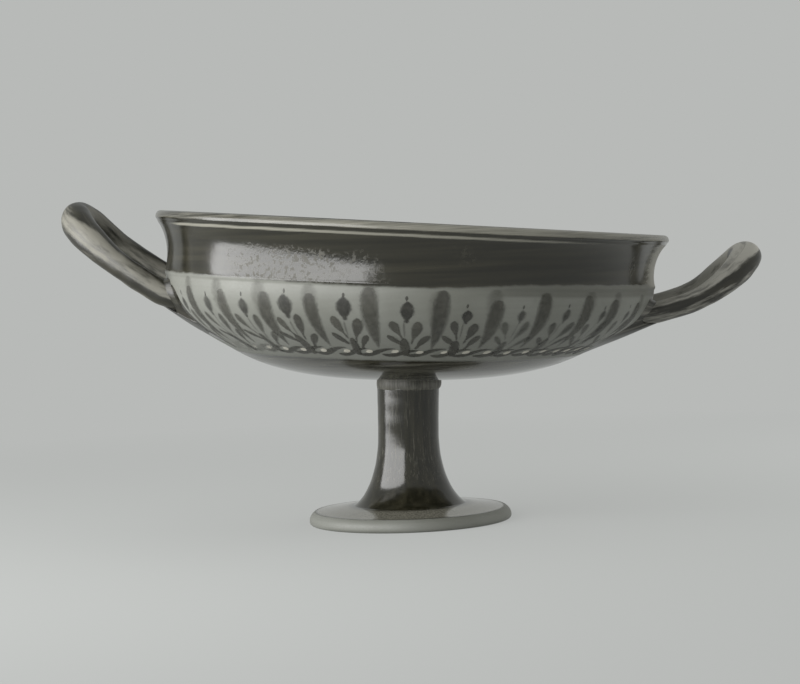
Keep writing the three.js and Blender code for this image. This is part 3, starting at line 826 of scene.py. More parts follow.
def roll_handle(side, facts):
    centre = HandleLine(**facts)
    path = centre.points()
    swell = ease((path[:, 0] - (centre.tip[0] - SWELL_LENGTH)) / SWELL_LENGTH)
    spine = bpy.data.meshes.new(f"{side}_spine")
    spine.from_pydata(path.tolist(), [(i, i + 1) for i in range(len(path) - 1)], [])
    write_numbers(spine, "bar_radius", BAR_RADIUS + (TIP_BAR_RADIUS - BAR_RADIUS) * swell)
    sizes = {"Seed": DENT_SEED + facts["turn"], "Material": gloss_on_handles[side], **BAR_SIZES}
    piece = make_piece(f"handle_{side}_rolled", roll, spine, **sizes)

    spots = points_of(piece.data)
    along = numbers_of(piece.data, "along")
    run = run_of(path)
    middle = np.stack([np.interp(along, run, axis) for axis in path.T], 1)
    fit_to_wall(spots, np.minimum(along, run[-1] - along))
    across = (spots - middle) * MM
    round_bar = np.arctan2(across[:, 2], np.hypot(across[:, 0], across[:, 1]))
    radius = np.linalg.norm(across, axis=1)
    level_part = across[:, 0] * (middle[:, 0] - centre.root_x) + across[:, 1] * middle[:, 1]
    outer = np.where(level_part > 0, 1, -1) * np.cos(round_bar) * radius
    bar_place = np.stack([outer, np.sin(round_bar) * radius, along * MM * BAR_STRETCH], 1)
    # Painted highlight and reflection, and gloss that wore thin, by height on the bar; paint also lights the
    # right handle's back leg, which lies in shade.
    rubbed = np.interp(np.sin(round_bar), *RUBBED_AND_SHEEN_BY_HEIGHT[side])
    if side == "right":
        rubbed[spots[:, 1] > BACK_LEG_Y] = BACK_LEG_PAINTED_LIGHT
    write_handle_paint(piece.data, bar_place, rubbed)
    move_points(piece.data, fire(turned_by(spots, centre.turn)))
    seat(piece, "black_gloss", f"handle_{side}")
    return centre


handle_lines = {side: roll_handle(side, facts) for side, facts in HANDLES.items()}

# %% [markdown]
# Wet slip was smeared into the corner round each root, and dragged down the wall with a finger. The
# smear is a fillet: a short hollow curve from the bar to the wall, taken at many angles round the bar,
# long at the bottom and short at the top. It is built point by point, because both its edges have to lie
# on curved surfaces, which a bevel can't find. It is closed by a row of points hidden in the clay.

# %% Where a leg meets the wall
SMEAR_STEPS = 72  # points in each row, round the bar
SEARCH_REACH = 14.0  # how far along the leg the corner is looked for, both ways
belly_run = run_of(belly)
belly_rise = np.gradient(belly, belly_run, axis=0)


def wall_point(turn, run):
    """A point on the bowl's outside at an angle and a run."""
    radius, z = (np.interp(run, belly_run, part) for part in belly.T)
    return np.stack([radius * np.sin(turn), -radius * np.cos(turn), z], 1)


def leg_corner(root, axis, out):
    """Where lines along the leg's sides pass through the wall's face, found by halving."""
    side = root + out * BAR_RADIUS
    near, far = np.full(SMEAR_STEPS, -SEARCH_REACH), np.full(SMEAR_STEPS, SEARCH_REACH)
    for _ in range(30):
        half = (near + far) / 2
        spot = side + half[:, None] * axis
        outside_wall = np.hypot(spot[:, 0], spot[:, 1]) > wall_radius(spot[:, 2])
        near, far = np.where(outside_wall, near, half), np.where(outside_wall, half, far)
    return side + half[:, None] * axis


# %% The fillet as rows of points
FILLET_STEPS = 9
FILLET_POWER = 1.4  # 2 is a hollow curve, and 1 would be straight
SMEAR_REACH = (3.0, 25)  # along the wall: all round, and more below the root
SMEAR_CLIMB = (3.4, 13)  # and along the bar
SINK = 0.3  # how far its two edges dip under the surfaces that they lie on
CLOSING_DEPTH = 1.6  # how deep in the clay the last row lies


def smear_rows(centre, y, angle):
    """Rows of points round one root, from the bar to the wall, and the root's run on the wall."""
    along = np.array([1, 0, centre.root_slope]) / math.hypot(1, centre.root_slope)
    up = np.array([-centre.root_slope, 0, 1]) / math.hypot(1, centre.root_slope)
    out = np.outer(np.cos(angle), (0, 1, 0)) + np.outer(np.sin(angle), up)
    corner = leg_corner(np.array([centre.root_x, y, centre.root_z + y * centre.skew]), along, out)
    turn = turn_of(corner)
    radius = np.hypot(corner[:, 0], corner[:, 1])
    run = np.interp(corner[:, 2], belly[RISING, 1], belly_run[RISING])
    rise_out, rise_up = (np.interp(run, belly_run, part) for part in belly_rise.T)
    level = np.zeros_like(turn)
    round_way = np.stack([np.cos(turn), np.sin(turn), level], 1)
    up_way = np.stack([rise_out * np.sin(turn), -rise_out * np.cos(turn), rise_up], 1)
    step_round, step_up = (np.einsum("ij,ij->i", out, way) for way in (round_way, up_way))
    length = np.hypot(step_round, step_up)

    down = np.clip(-np.sin(angle), 0, 1)
    wobble = 0.5 * np.sin(3 * angle + y) + 0.3 * np.sin(7 * angle + 2 * y)
    reach = SMEAR_REACH[0] + wobble + SMEAR_REACH[1] * down ** 4
    climb = SMEAR_CLIMB[0] + 0.6 * wobble + SMEAR_CLIMB[1] * down ** 3
    rows = []
    for share in np.linspace(0, 1, FILLET_STEPS):
        on_wall, on_bar = share ** FILLET_POWER * reach, (1 - share) ** FILLET_POWER * climb
        spot = wall_point(turn + step_round / length * on_wall / radius, run + step_up / length * on_wall)
        row = spot + along * on_bar[:, None]
        if share < 0.5:
            row -= out * SINK * (1 - 2 * share)
        else:
            outward = np.stack([row[:, 0], row[:, 1], level], 1)
            outward /= np.linalg.norm(outward, axis=1)[:, None]
            wall_face = outward * rise_up[:, None] - np.outer(rise_out, (0, 0, 1))
            row -= wall_face * SINK * (2 * share - 1)
        rows.append(row)
    rows.append(corner - out * CLOSING_DEPTH - along * 0.6)
    return rows, float(run.mean())


# %% The smears round the roots
SMEAR_STRETCH = 0.02 * MM  # how far a pattern moves on from one row of points to the next
# The smears carry on the handles' paler grey, gloss that wore thin and painted highlight, more of it above
# the root.
SMEAR_RUBBED_AND_SHEEN = {"right": (0.15, 0.35), "left": (0.0, 0.35)}  # below and above a root


def smear(side, centre, y, node):
    """Makes the smear of one root, and gives the root's angle and run."""
    angle = np.linspace(0, math.tau, SMEAR_STEPS, endpoint=False)
    rows, root_run = smear_rows(centre, y, angle)
    spots = turned_by(np.concatenate(rows), centre.turn)
    around = [(i, (i + 1) % SMEAR_STEPS) for i in range(SMEAR_STEPS)]
    row_pairs = [(r * SMEAR_STEPS, (r + 1) % len(rows) * SMEAR_STEPS) for r in range(len(rows))]
    faces = [(a + i, b + i, b + j, a + j) for a, b in row_pairs for i, j in around]
    mesh = bpy.data.meshes.new(f"{node}_smeared")
    mesh.from_pydata(fire(spots).tolist(), [], faces)
    if enclosed_volume(mesh) < 0:
        mesh.flip_normals()
    mesh.shade_smooth()
    mesh.materials.append(gloss_on_handles[side])
    on_bar = np.stack([np.cos(angle), np.sin(angle)], 1) * BAR_RADIUS * MM
    row_number = np.repeat(np.arange(len(rows)), SMEAR_STEPS)
    bar_place = np.column_stack([np.tile(on_bar, (len(rows), 1)), row_number * SMEAR_STRETCH])
    # The paler grey round the bar: painted highlight, and gloss that wore thin.
    rubbed = np.interp(np.sin(angle), [-0.5, 0.2], SMEAR_RUBBED_AND_SHEEN[side])
    write_handle_paint(mesh, bar_place, np.tile(rubbed, len(rows)))
    piece = bpy.data.objects.new(mesh.name, mesh)
    scene.collection.objects.link(piece)
    seat(piece, "clay_slip", node)
    return turn_of(spots[:1])[0], root_run


roots = []
for side, centre in handle_lines.items():
    for y in (-ROOT_SPREAD / 2, ROOT_SPREAD / 2):
        place = "front" if (y < 0) == (centre.turn == 0) else "back"
        roots.append(smear(side, centre, y, f"handle_{side}_{place}_slip"))
print("roots at", [(round(math.degrees(turn)), round(run)) for turn, run in roots])

# %% [markdown]
# The gloss was carried over each smear and onto the wall, in a drop that points down and towards the
# nearer side of the cup. For each point of the bowl we work out how deep it lies inside such a drop,
# and the bowl's material turns that depth into gloss.

# %% Gloss round the roots, then the bowl is fired
DROP_RADIUS = 9.5
DROP_LEAN = (0.9, 0.42)  # cosine and sine of the drop's lean, rounded
DROP_LENGTHS = (0.36, 1.1)  # the lower this is, the longer the drop: below the root, and above it
MM_PER_RADIAN = 100  # round the wall, near the roots

inside_drop = np.full(len(raw), NOWHERE)
for root_turn, root_run in roots:
    beside = ((turn - root_turn + math.pi) % math.tau - math.pi) * MM_PER_RADIAN
    above = run - root_run
    towards = -np.sign(math.sin(root_turn) * math.cos(root_turn))
    leaning_beside = beside * DROP_LEAN[0] + towards * above * DROP_LEAN[1]
    leaning_above = above * DROP_LEAN[0] - towards * beside * DROP_LEAN[1]
    stretched = leaning_above * np.where(leaning_above < 0, *DROP_LENGTHS)
    inside_drop = np.maximum(inside_drop, DROP_RADIUS - np.hypot(leaning_beside, stretched))
inside_drop[run > LIP_RUN + 4] = NOWHERE
write_paint(bowl.data, paint_run=paint_run, root_smear=inside_drop, wash=wash, wear=wear,
            pitting=pitting, burnish=burnish)
move_points(bowl.data, fire(raw))
seat(bowl, "fired_clay", "bowl")

# %% [markdown]
# ## The foot and its stem
# The foot was thrown upside down as a disc with a hollow trumpet rising from it, which is why the stem
# is open below. It is turned on the same wheel. Its edge and its underside are bare clay, and
# the gloss starts on the top of the disc. Faint rings run round the stem, where fingers drew it up.

# %% The foot's line
FOOT_RADIUS = width_of("foot_and_stem") / 2
STEM_RADIUS = 13.4
STEM_WAIST_Z = 38.6  # where the flare ends and the stem stands straight
STEM_TOP_RADIUS = 13.7
NECK_RADIUS = 12.3
SEAT_Z = 59.4  # the shoulder that the ring sits on
STEM_TOP = 62
EDGE_CORNER = np.array([FOOT_RADIUS, 1.5])  # the foot's widest point
EDGE_TOP = np.array([FOOT_RADIUS - 1.9, 5.4])
PLATE_END = np.array([24.5, 7.6])  # where the top of the disc turns up into the flare
BORE_RADIUS = 9.4
BORE_Z = 14.4  # where the hollow starts to widen
BORE_END = (6.4, 48)

hollow = join(
    [(0, 51)],
    bezier((2, 50.4), (4, 49.9), (6.2, 49.6), BORE_END, 6),
    bezier(BORE_END, (7.2, 38), (BORE_RADIUS, 24), (BORE_RADIUS, BORE_Z), 14),
    bezier((BORE_RADIUS, BORE_Z), (BORE_RADIUS, 6.4), (15.4, 3), (32.5, 2.4), 24),
    [(33.6, 0.8), (34.5, 0)],
)
foot_edge = join(
    bezier((FOOT_RADIUS - 1.1, 0), (FOOT_RADIUS - 0.5, 0.1), EDGE_CORNER - (0, 0.9), EDGE_CORNER, 8),
    bezier(EDGE_CORNER, EDGE_CORNER + (0, 1.9), EDGE_TOP + (0.7, -0.7), EDGE_TOP + (-0.5, 0.05), 16),
)
plate = bezier(foot_edge[-1], foot_edge[-1] + (-5, 0.4), (30, 7.2), PLATE_END, 24)
waist = (STEM_RADIUS, STEM_WAIST_Z)
flare = bezier(PLATE_END, (19.5, 10.5), (STEM_RADIUS, 21.9), waist, 44)
shaft = bezier(waist, (STEM_RADIUS, 46), (13.5, 53), (STEM_TOP_RADIUS, SEAT_Z), 26)
neck = [(NECK_RADIUS, SEAT_Z), (NECK_RADIUS, STEM_TOP), (0, STEM_TOP)]
foot_line = join(hollow, foot_edge, plate, flare, shaft, neck)
foot_run = run_of(foot_line)
FOOT_END = foot_run[-1]


def run_at(point):
    """The run of the foot's line at one of its points."""
    return foot_run[np.argmin(np.linalg.norm(foot_line - point, axis=1))]


EDGE_RUN = run_at(foot_edge[-1])
PLATE_RUN = run_at(plate[-1])
print(f"foot: {FOOT_END:.0f} mm of line, its edge at {EDGE_RUN:.0f} mm and the flare at {PLATE_RUN:.0f} mm")

# %% The foot is thrown, painted and fired
foot_rings = np.interp(foot_run, [EDGE_RUN + 12, EDGE_RUN + 25, FOOT_END - 20, FOOT_END - 17], [0, 1, 1, 0])
foot_finish = painted_pot("black_gloss_on_foot", FOOT_END, [(EDGE_RUN + 0.6, FOOT_END + 2)], UP_THE_STEM)
foot = throw("foot_and_stem_thrown", foot_line, foot_rings, foot_finish,
             steps_round=160, ring_depth=0.02, ring_spacing=8.0)
upright = points_of(foot.data)
foot_turn = turn_of(upright)
along_foot = numbers_of(foot.data, "run")
edge_wander = 0.3 * np.sin(foot_turn + 2) + 0.25 * np.sin(3 * foot_turn)
on_plate = np.interp(along_foot, [EDGE_RUN, EDGE_RUN + 1.5, PLATE_RUN - 4, PLATE_RUN + 2], [0, 1, 1, 0])
on_stem = np.interp(along_foot, [PLATE_RUN + 6, PLATE_RUN + 14], [0, 1])
# The top of the disc gets a paler grey, partly gloss that wore thin and partly a painted reflection of the
# background that it faces at a grazing angle. The stem's gloss wore thin in a few places.
foot_wear_and_sheen = 0.72 * on_plate + 0.25 * on_stem
write_paint(foot.data, paint_run=along_foot + edge_wander, wear=foot_wear_and_sheen, burnish=on_plate)
move_points(foot.data, fire(upright))
seat(foot, "black_gloss", "foot_and_stem")

# %% [markdown]
# ## The ring at the top of the stem
# A thin roll of clay was pressed round the joint between stem and bowl. It is uneven, since fingers
# pressed it: its line is turned on the wheel, and then the ring is swollen and pinched by a few waves
# round the cup.

# %% The pressed ring
RING_TOP = 63.1
RING_BOTTOM = 58.2
RING_RADIUS = 14.6
RING_INSIDE = NECK_RADIUS + 0.3
RING_UNDER = SEAT_Z + 0.3  # it clears the stem's shoulder
RING_DULLNESS = -3  # as a burnish

ring_foot = (13.6, RING_BOTTOM)
ring_profile = join(
    bezier((RING_INSIDE, RING_UNDER), (13, RING_UNDER), (13.2, RING_BOTTOM), ring_foot, 8),
    bezier(ring_foot, (14.4, 58.6), (14.8, 61), (14.2, RING_TOP), 20),
    [(RING_INSIDE, RING_TOP)],
)
ring_line = np.vstack([ring_profile, ring_profile[:1]])
pressed = throw("stem_fillet_pressed", ring_line, np.zeros(len(ring_line)), foot_finish,
                steps_round=144, ring_depth=0.0, ring_spacing=5.0)
spots = points_of(pressed.data)
ring_turn = turn_of(spots)
pinch = 0.16 * np.sin(5 * ring_turn) + 0.12 * np.sin(9 * ring_turn + 1) + 0.2 * np.sin(ring_turn)
outward = np.clip((np.hypot(spots[:, 0], spots[:, 1]) - RING_INSIDE) / 1.7, 0, 1)
low_part = np.clip((RING_TOP - spots[:, 2]) / 3.4, 0, 1)
spots[:, :2] *= (1 + (pinch - 0.25) * outward / RING_RADIUS)[:, None]
spots[:, 2] += 0.9 * pinch * low_part
write_paint(pressed.data, paint_run=FOOT_END - 20, wear=0.5, burnish=RING_DULLNESS)
move_points(pressed.data, fire(spots))
seat(pressed, "black_gloss", "stem_fillet")

# %% [markdown]
# The slip that seals the stem to the bowl lies hidden under that ring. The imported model's own disc is
# right for it, so it stays, and only gets the bare clay's finish.

# %% The hidden slip
# Clay let down with water to a paste, squeezed flat in the joint and never smoothed. It would look like
# the bare clay, only rougher where it broke, and nothing of it shows.
slip_finish, tree = new_material("matt_clay_slip")
coords = add_node(tree, "ShaderNodeTexCoord").outputs["Object"]
turned = add_node(tree, "ShaderNodeMapping", {"Vector": coords, "Scale": ROUND_THE_CUP})
finish_surface(tree, *fired_clay(tree, coords, turned))
hidden_slip = frame["nodes"]["stem_slip"]
hidden_slip.data.materials.clear()
hidden_slip.data.materials.append(slip_finish)
print(f"stem_slip: {len(hidden_slip.data.polygons)} faces, kept from the packed model")

# %% [markdown]
# ## The painted band
# Tongues stand in turn with budding plants, on a chain of loops with a white dot in each. The painter
# made each mark with one touch of the brush, so that is how we build it: a mark is a line with a width
# that swells and dies away, as a thin domed film. A few marks in a collection are enough. Points say
# where each goes, how it leans and how much paint it holds, and a tree puts the marks there and wraps
# the lot round the wall. A drawn texture would need a picture, and this one is made of shapes.

# %% The brush marks
FILM = 0.05  # thickness of the paint, a little more than the real one
BURIED = 0.25  # a mark's underside lies this deep in the wall
SECTION = [(-1, 0), (-0.72, 0.7), (-0.3, 1), (0.3, 1), (0.72, 0.7), (1, 0)]  # shares of width and film
MARK_STEPS = 15
LEAST_WIDTH = 0.02  # so that no end of a mark is quite a point
# Each mark: the four points of its curve in mm, its half width, where it is fullest (below 1 near its
# start, above 1 near its end), how blunt it is (lower is blunter) and how wide its start is, as a share.
MARKS = {
    "bud": ([(0, 0), (-0.2, 3.4), (0.3, 6.9), (0, 10.4)], 3.25, 1.3, 0.85, 0.42),
    "dot": ([(-1.7, -0.8), (-0.6, -0.6), (0.6, 0.6), (1.7, 0.8)], 1.75, 1.0, 0.5, 0),
    "finial": ([(0, 0), (0, 0.6), (0.1, 1.2), (0.1, 2)], 0.6, 1.0, 0.6, 0),
    "leaf_high_left": ([(0, 0), (-0.8, 3.5), (-3.2, 7), (-4.1, 12.4)], 2.2, 2.5, 0.6, 0.35),
    "leaf_high_right": ([(0, 0), (0.2, 5.5), (2.3, 9), (2.1, 16)], 2.45, 2.4, 0.6, 0.3),
    "leaf_low_left": ([(0, 0), (-1.5, 2.2), (-3.6, 4.2), (-5.6, 7.4)], 1.7, 1.3, 0.5, 0.6),
    "leaf_low_right": ([(0, 0), (0.8, 3.2), (2.6, 7.5), (4.6, 11.6)], 2.0, 1.9, 0.6, 0.5),
    "link": ([(-6, -2.2), (1, -6.5), (4, 4.2), (13, 3.2)], 2.2, 0.7, 0.7, 0),
    "stem": ([(0, 0), (0.2, 4), (-0.2, 8), (0, 11.5)], 0.65, 1.5, 0.5, 0),
    "tongue": ([(0, 0), (0.3, 10), (-0.3, 20), (0, 31)], 3.6, 2.1, 0.3, 0.36),
    "trunk": ([(0, 0), (0.1, 5), (-0.2, 10), (-0.5, 15.5)], 2.5, 0.9, 0.35, 0.8),
}


def brush_mark(name, curve, half_width, fullest, bluntness, start):
    """One mark, lying flat, as a closed film. Edge is 0 at the film's edges and 1 in its middle."""
    share = (1 - np.cos(np.linspace(0, math.pi, MARK_STEPS))) / 2
    fine = bezier(*curve, 200)
    line = np.stack([np.interp(share, run_of(fine) / run_of(fine)[-1], axis) for axis in fine.T], 1)
    swell = np.sin(math.pi * share ** fullest).clip(0) ** bluntness
    blunt_start = start * np.sqrt(1 - share) * np.minimum(1, 0.5 + 6 * share)
    width = half_width * np.maximum(swell, blunt_start) + LEAST_WIDTH
    side, under = side_of(line), -BURIED / FILM
    rows, edge = [], []
    for offset, height in SECTION + [(1, under), (-1, under)]:
        places = line + side * (offset * width)[:, None]
        rows.append(np.column_stack([places, np.full(MARK_STEPS, height * FILM)]))
        edge.append((1 - abs(offset)) * np.minimum(1, width / half_width * 1.5))
    starts = [row * MARK_STEPS for row in range(len(rows))]
    neighbours = zip(starts, starts[1:] + starts[:1])
    faces = [(a + i, a + i + 1, b + i + 1, b + i) for a, b in neighbours for i in range(MARK_STEPS - 1)]
    faces.append(tuple(starts))
    faces.append(tuple(a + MARK_STEPS - 1 for a in reversed(starts)))
    mesh = bpy.data.meshes.new(name)
    mesh.from_pydata(np.concatenate(rows).tolist(), [], faces)
    if enclosed_volume(mesh) < 0:
        mesh.flip_normals()
    write_numbers(mesh, "edge", np.concatenate(edge))
    return bpy.data.objects.new(name, mesh)


marks = bpy.data.collections.new("brush_marks")
for name, shape in MARKS.items():
    marks.objects.link(brush_mark(name, *shape))
mark_number = {name: i for i, name in enumerate(sorted(MARKS))}
print("brush marks:", ", ".join(sorted(MARKS)))

# %% The tree that paints the band
BAND_RADIUS = 95.0  # the band is laid out flat at this radius
paint, given, result = start_tree("painted_band", {
    "Marks": "Collection", "Wall Line": "Object", "Band Radius": "Float", "Material": "Material",
})
readers = {name: add_node(paint, "GeometryNodeInputNamedAttribute", {"Name": name}, data_type=kind)
           for name, kind in {"mark": "INT", "lean": "FLOAT", "wide": "FLOAT", "tall": "FLOAT"}.items()}
shapes = add_node(paint, "GeometryNodeCollectionInfo",
                  {"Collection": given["Marks"], "Separate Children": True, "Reset Children": True})
points = add_node(paint, "GeometryNodeMeshToPoints", {"Mesh": given["Geometry"]})
lean = add_node(paint, "ShaderNodeCombineXYZ", {"Z": readers["lean"]})
stretch = add_node(paint, "ShaderNodeCombineXYZ", {"X": readers["wide"], "Y": readers["tall"], "Z": 1.0})
touched = add_node(paint, "GeometryNodeInstanceOnPoints", {
    "Points": points, "Instance": shapes, "Pick Instance": True, "Instance Index": readers["mark"],
    "Rotation": lean, "Scale": stretch,
})
flat = add_node(paint, "GeometryNodeRealizeInstances", {"Geometry": touched})
xyz = add_node(paint, "ShaderNodeSeparateXYZ", {"Vector": add_node(paint, "GeometryNodeInputPosition")})
angle = add_node(paint, "ShaderNodeMath", {0: xyz.outputs["X"], 1: given["Band Radius"]}, operation="DIVIDE")
wall = add_node(paint, "GeometryNodeObjectInfo", {"Object": given["Wall Line"]}).outputs["Geometry"]
wall = add_node(paint, "GeometryNodeMeshToCurve", {"Mesh": wall})
up_the_wall = {"Curves": wall, "Length": xyz.outputs["Y"]}
on_wall = add_node(paint, "GeometryNodeSampleCurve", up_the_wall, mode="LENGTH").outputs
quarter = {"Vector": on_wall["Tangent"], "Angle": math.pi / 2}
outward = add_node(paint, "ShaderNodeVectorRotate", quarter, rotation_type="X_AXIS")
lifted = [outward, xyz.outputs["Z"], on_wall["Position"]]
spot = add_node(paint, "ShaderNodeVectorMath", lifted, operation="MULTIPLY_ADD")
spot = add_node(paint, "ShaderNodeVectorRotate", {"Vector": spot, "Angle": angle}, rotation_type="Z_AXIS")
painted = add_node(paint, "GeometryNodeSetPosition", {"Geometry": flat, "Position": spot})
end_tree(paint, painted, given["Material"], result)

wall_mesh = bpy.data.meshes.new("wall_line")
wall_mesh.from_pydata([(0, -r, z) for r, z in outside], [(i, i + 1) for i in range(len(outside) - 1)], [])
wall_line = bpy.data.objects.new("wall_line", wall_mesh)

# %% [markdown]
# The paint of the band is the same slip as the gloss, laid on thin, so it is brownish and patchy, and
# it gets its strength from each mark. It lets the clay through at its edges and where the brush ran
# dry. Much of the red that was added to the tongues has faded to a soft shadow.

# %% The band's two paints
# Thin black slip is the gloss let down with water and laid on with one touch. It stays nearly matt, and
# patchy, and lets the clay through. Added white is a fine pale clay dotted on last. It is chalky and flat,
# and covers better.
PAINT_DARK = "201F1A"
PAINT_THIN = "4B4A42"
WHITE_THICK = "C2BEB2"
WHITE_THIN = "B0ACA1"


def band_paint(name, thick, thin, strongest):
    """Tone is how thick a mark's paint is, cover how strong it is, and edge where its film ends."""
    material, tree = new_material(name)
    coords = add_node(tree, "ShaderNodeTexCoord").outputs["Object"]
    edge, tone, cover = (add_node(tree, "ShaderNodeAttribute", attribute_name=label).outputs["Fac"]
                         for label in ("edge", "tone", "cover"))
    patch = add_node(tree, "ShaderNodeTexNoise", [coords, per_metre(3.2), 3, 0.6])
    grain = add_node(tree, "ShaderNodeTexNoise", [coords, per_metre(0.6), 2, 0.6])
    ragged = add_node(tree, "ShaderNodeMapRange", [grain, 0.3, 0.7, -0.12, 0.12])
    ragged = add_node(tree, "ShaderNodeMath", [ragged, edge])
    soft = add_node(tree, "ShaderNodeMapRange", [cover, 0.4, 0.9, 1.0, 0.4])
    body = add_node(tree, "ShaderNodeMapRange", [ragged, 0.02, soft])
    strength = add_node(tree, "ShaderNodeMapRange", [patch, 0.3, 0.7, 0.75 * strongest, strongest])
    strength = add_node(tree, "ShaderNodeMath", [strength, cover], operation="MULTIPLY")
    alpha = add_node(tree, "ShaderNodeMath", [body, strength], operation="MULTIPLY")
    depth = add_node(tree, "ShaderNodeMapRange", [patch, 0.3, 0.7, -0.2, 0.2])
    depth = add_node(tree, "ShaderNodeMath", [depth, tone])
    tint = add_node(tree, "ShaderNodeMix", [depth, colour(thin), colour(thick)], data_type="RGBA")
    rough = add_node(tree, "ShaderNodeMapRange", [grain, 0.3, 0.7, 0.42, 0.6])
    relief = add_node(tree, "ShaderNodeMath", [grain, 0.02], operation="MULTIPLY")
    finish_surface(tree, tint, rough, relief, alpha=alpha)
    return material


thin_gloss = band_paint("thin_black_slip", PAINT_DARK, PAINT_THIN, 0.95)
added_white = band_paint("added_white", WHITE_THICK, WHITE_THIN, 0.92)
print("paints:", thin_gloss.name, "and", added_white.name)

# %% [markdown]
# The painter spaced the marks by eye. The feet on the front are a given list, and
# those on the back follow the same beat with small seeded slips. Every plant has the same eight marks,
# and each mark gets its own small error in place, lean, size and strength.

# %% The painter's plan
CHAIN_RUN = 86.2  # where the chain of loops runs
STAND_RUN = 90.5  # where the tongues stand
# The feet of plants and tongues in turn, in degrees from the front, from left to right.
FRONT_FEET = [-66, -59.8, -53.4, -47.5, -41, -34.8, -28.9, -21.6, -15, -8.2, -1.2, 5.8, 12.2,
              18.5, 25, 31, 37.3, 44, 49, 54, 60.5, 66.5]
# Size and strength of the bud on each front plant, from left to right.
FRONT_BUDS = [(0.8, 0.5), (0.85, 0.5), (0.9, 0.6), (1.1, 0.85), (1.0, 0.95), (1.0, 1.0), (0.72, 1.0),
              (0.7, 0.35), (0.75, 0.5), (0.7, 0.4), (0.7, 0.4)]
# Each mark of a plant: its place beside the foot and its run, in mm, its tone, and over how many dry
# marks it lies.
PLANT = {
    "stem": (0.1, 98.0, 0.4, 0),
    "leaf_low_left": (-1.4, 93.2, 0.55, 1),
    "leaf_low_right": (4.0, 89.4, 0.55, 1),
    "leaf_high_left": (-1.0, 97.6, 0.4, 1),
    "leaf_high_right": (2.3, 94.6, 0.5, 1),
    "trunk": (0, 82.6, 0.6, 2),
    "bud": (0.4, 108.6, 1.0, 1),
    "finial": (0.4, 118.9, 0.6, 0),
}
BUD_LENGTH = 10.4  # of the bud's mark, because a finial stands on its tip
STEM_COVER = 0.5  # a stem's paint is this strong, against the other marks
print(f"the plan: {len(FRONT_FEET)} feet on each side, and {len(PLANT)} marks in every plant")

# %% The painter's hand
LAYER = 0.055  # what one dry mark adds to the height
PLACE_SLIP = (0.25, 0.3)  # how far the painter's hand strays: beside and up, in mm
SIZE_SLIP = (0.07, 0.04)  # in width and length, as a share
LEAN_SLIP = 2.2  # in degrees
TONE_SLIP = 0.08


class Band:
    """Collects the marks of one side of the cup, flat, with x at the band's radius and y as the run."""

    def __init__(self, seed):
        self.chance = np.random.default_rng(seed)
        self.rows = []

    def touch(self, name, x, y, tone, cover, size=1.0, tall=None, layer=0):
        """One mark. Its layer lifts it off the paint that was already dry."""
        slip = self.chance.normal(size=6)
        wide = size * (1 + SIZE_SLIP[0] * slip[2])
        tall = (tall or size) * (1 + SIZE_SLIP[1] * slip[3])
        lean = math.radians(LEAN_SLIP * slip[4])
        tone = np.clip(tone + TONE_SLIP * slip[5], 0, 1)
        place = (x + PLACE_SLIP[0] * slip[0], y + PLACE_SLIP[1] * slip[1], layer * LAYER)
        self.rows.append((*place, mark_number[name], lean, wide, tall, tone, cover))

    def mesh(self, name):
        table = np.array(self.rows)
        mesh = bpy.data.meshes.new(name)
        mesh.from_pydata(table[:, :3].tolist(), [], [])
        write_numbers(mesh, "mark", table[:, 3], "INT")
        for column, label in enumerate(("lean", "wide", "tall", "tone", "cover"), 4):
            write_numbers(mesh, label, table[:, column])
        return mesh


# %% Painting both sides
def lay_out(feet, buds, seed):
    """The marks of one side and its white dots. The feet are in degrees from the middle of that side."""
    band, dots = Band(seed), Band(seed + 1)
    mm_per_degree = math.radians(1) * BAND_RADIUS
    buds = iter(buds)
    for i, foot in enumerate(feet):
        x = foot * mm_per_degree
        if i + 1 < len(feet):
            between = (foot + feet[i + 1]) / 2 * mm_per_degree + 0.8
            kept = np.interp(foot, [-60, -38], [0.25, 1])  # the chain is rubbed faint at the left end
            band.touch("link", between, CHAIN_RUN, 0.62, cover=0.88 * kept, layer=i % 2)
            dots.touch("dot", between, CHAIN_RUN + 0.4, 0.5, cover=kept, layer=2)
        if i % 2:
            band.touch("tongue", x - 0.8, STAND_RUN + 12, 0.1, cover=0.45, size=1.1, tall=0.71)
            band.touch("tongue", x, STAND_RUN, 0.5, cover=0.8, layer=1)
            continue
        bud_size, strength = next(buds)
        for mark, (beside, up, tone, layer) in PLANT.items():
            size = bud_size if mark == "bud" else 1.0
            up += (bud_size - 1) * BUD_LENGTH if mark == "finial" else 0
            cover = (STEM_COVER if mark == "stem" else 1) * (0.45 + 0.5 * strength)
            band.touch(mark, x + beside, up, tone, cover=cover, size=size, layer=layer)
    return band, dots


def paint_side(label, feet, buds, turn, seed):
    """Makes one side's marks and dots, each as one piece, and turns them to their side of the cup."""
    band, dots = lay_out(feet, buds, seed)
    for what, part, material in (("painted_frieze", band, thin_gloss), ("white_dots", dots, added_white)):
        name = f"{what}_{label}"
        sizes = {"Marks": marks, "Wall Line": wall_line, "Band Radius": BAND_RADIUS, "Material": material}
        piece = make_piece(name, paint, part.mesh(name), **sizes)
        move_points(piece.data, fire(turned_by(points_of(piece.data), turn)))
        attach(piece, "root")
        print(f"{name}: {len(part.rows)} marks, {len(piece.data.polygons)} faces,"
              f" {enclosed_volume(piece.data) * 1e9:.0f} mm3")


beat = np.random.default_rng(5)
even_feet = np.linspace(FRONT_FEET[0], FRONT_FEET[-1], len(FRONT_FEET))
back_feet = even_feet + beat.normal(0, 0.5, len(even_feet))
back_buds = [(0.9 + 0.1 * beat.normal(), 0.75 + 0.15 * beat.normal()) for _ in FRONT_BUDS]
paint_side("front", FRONT_FEET, FRONT_BUDS, 0, seed=11)
paint_side("back", list(back_feet), back_buds, math.pi, seed=23)
for mark in list(marks.objects) + [wall_line]:
    bpy.data.objects.remove(mark)
bpy.data.collections.remove(marks)
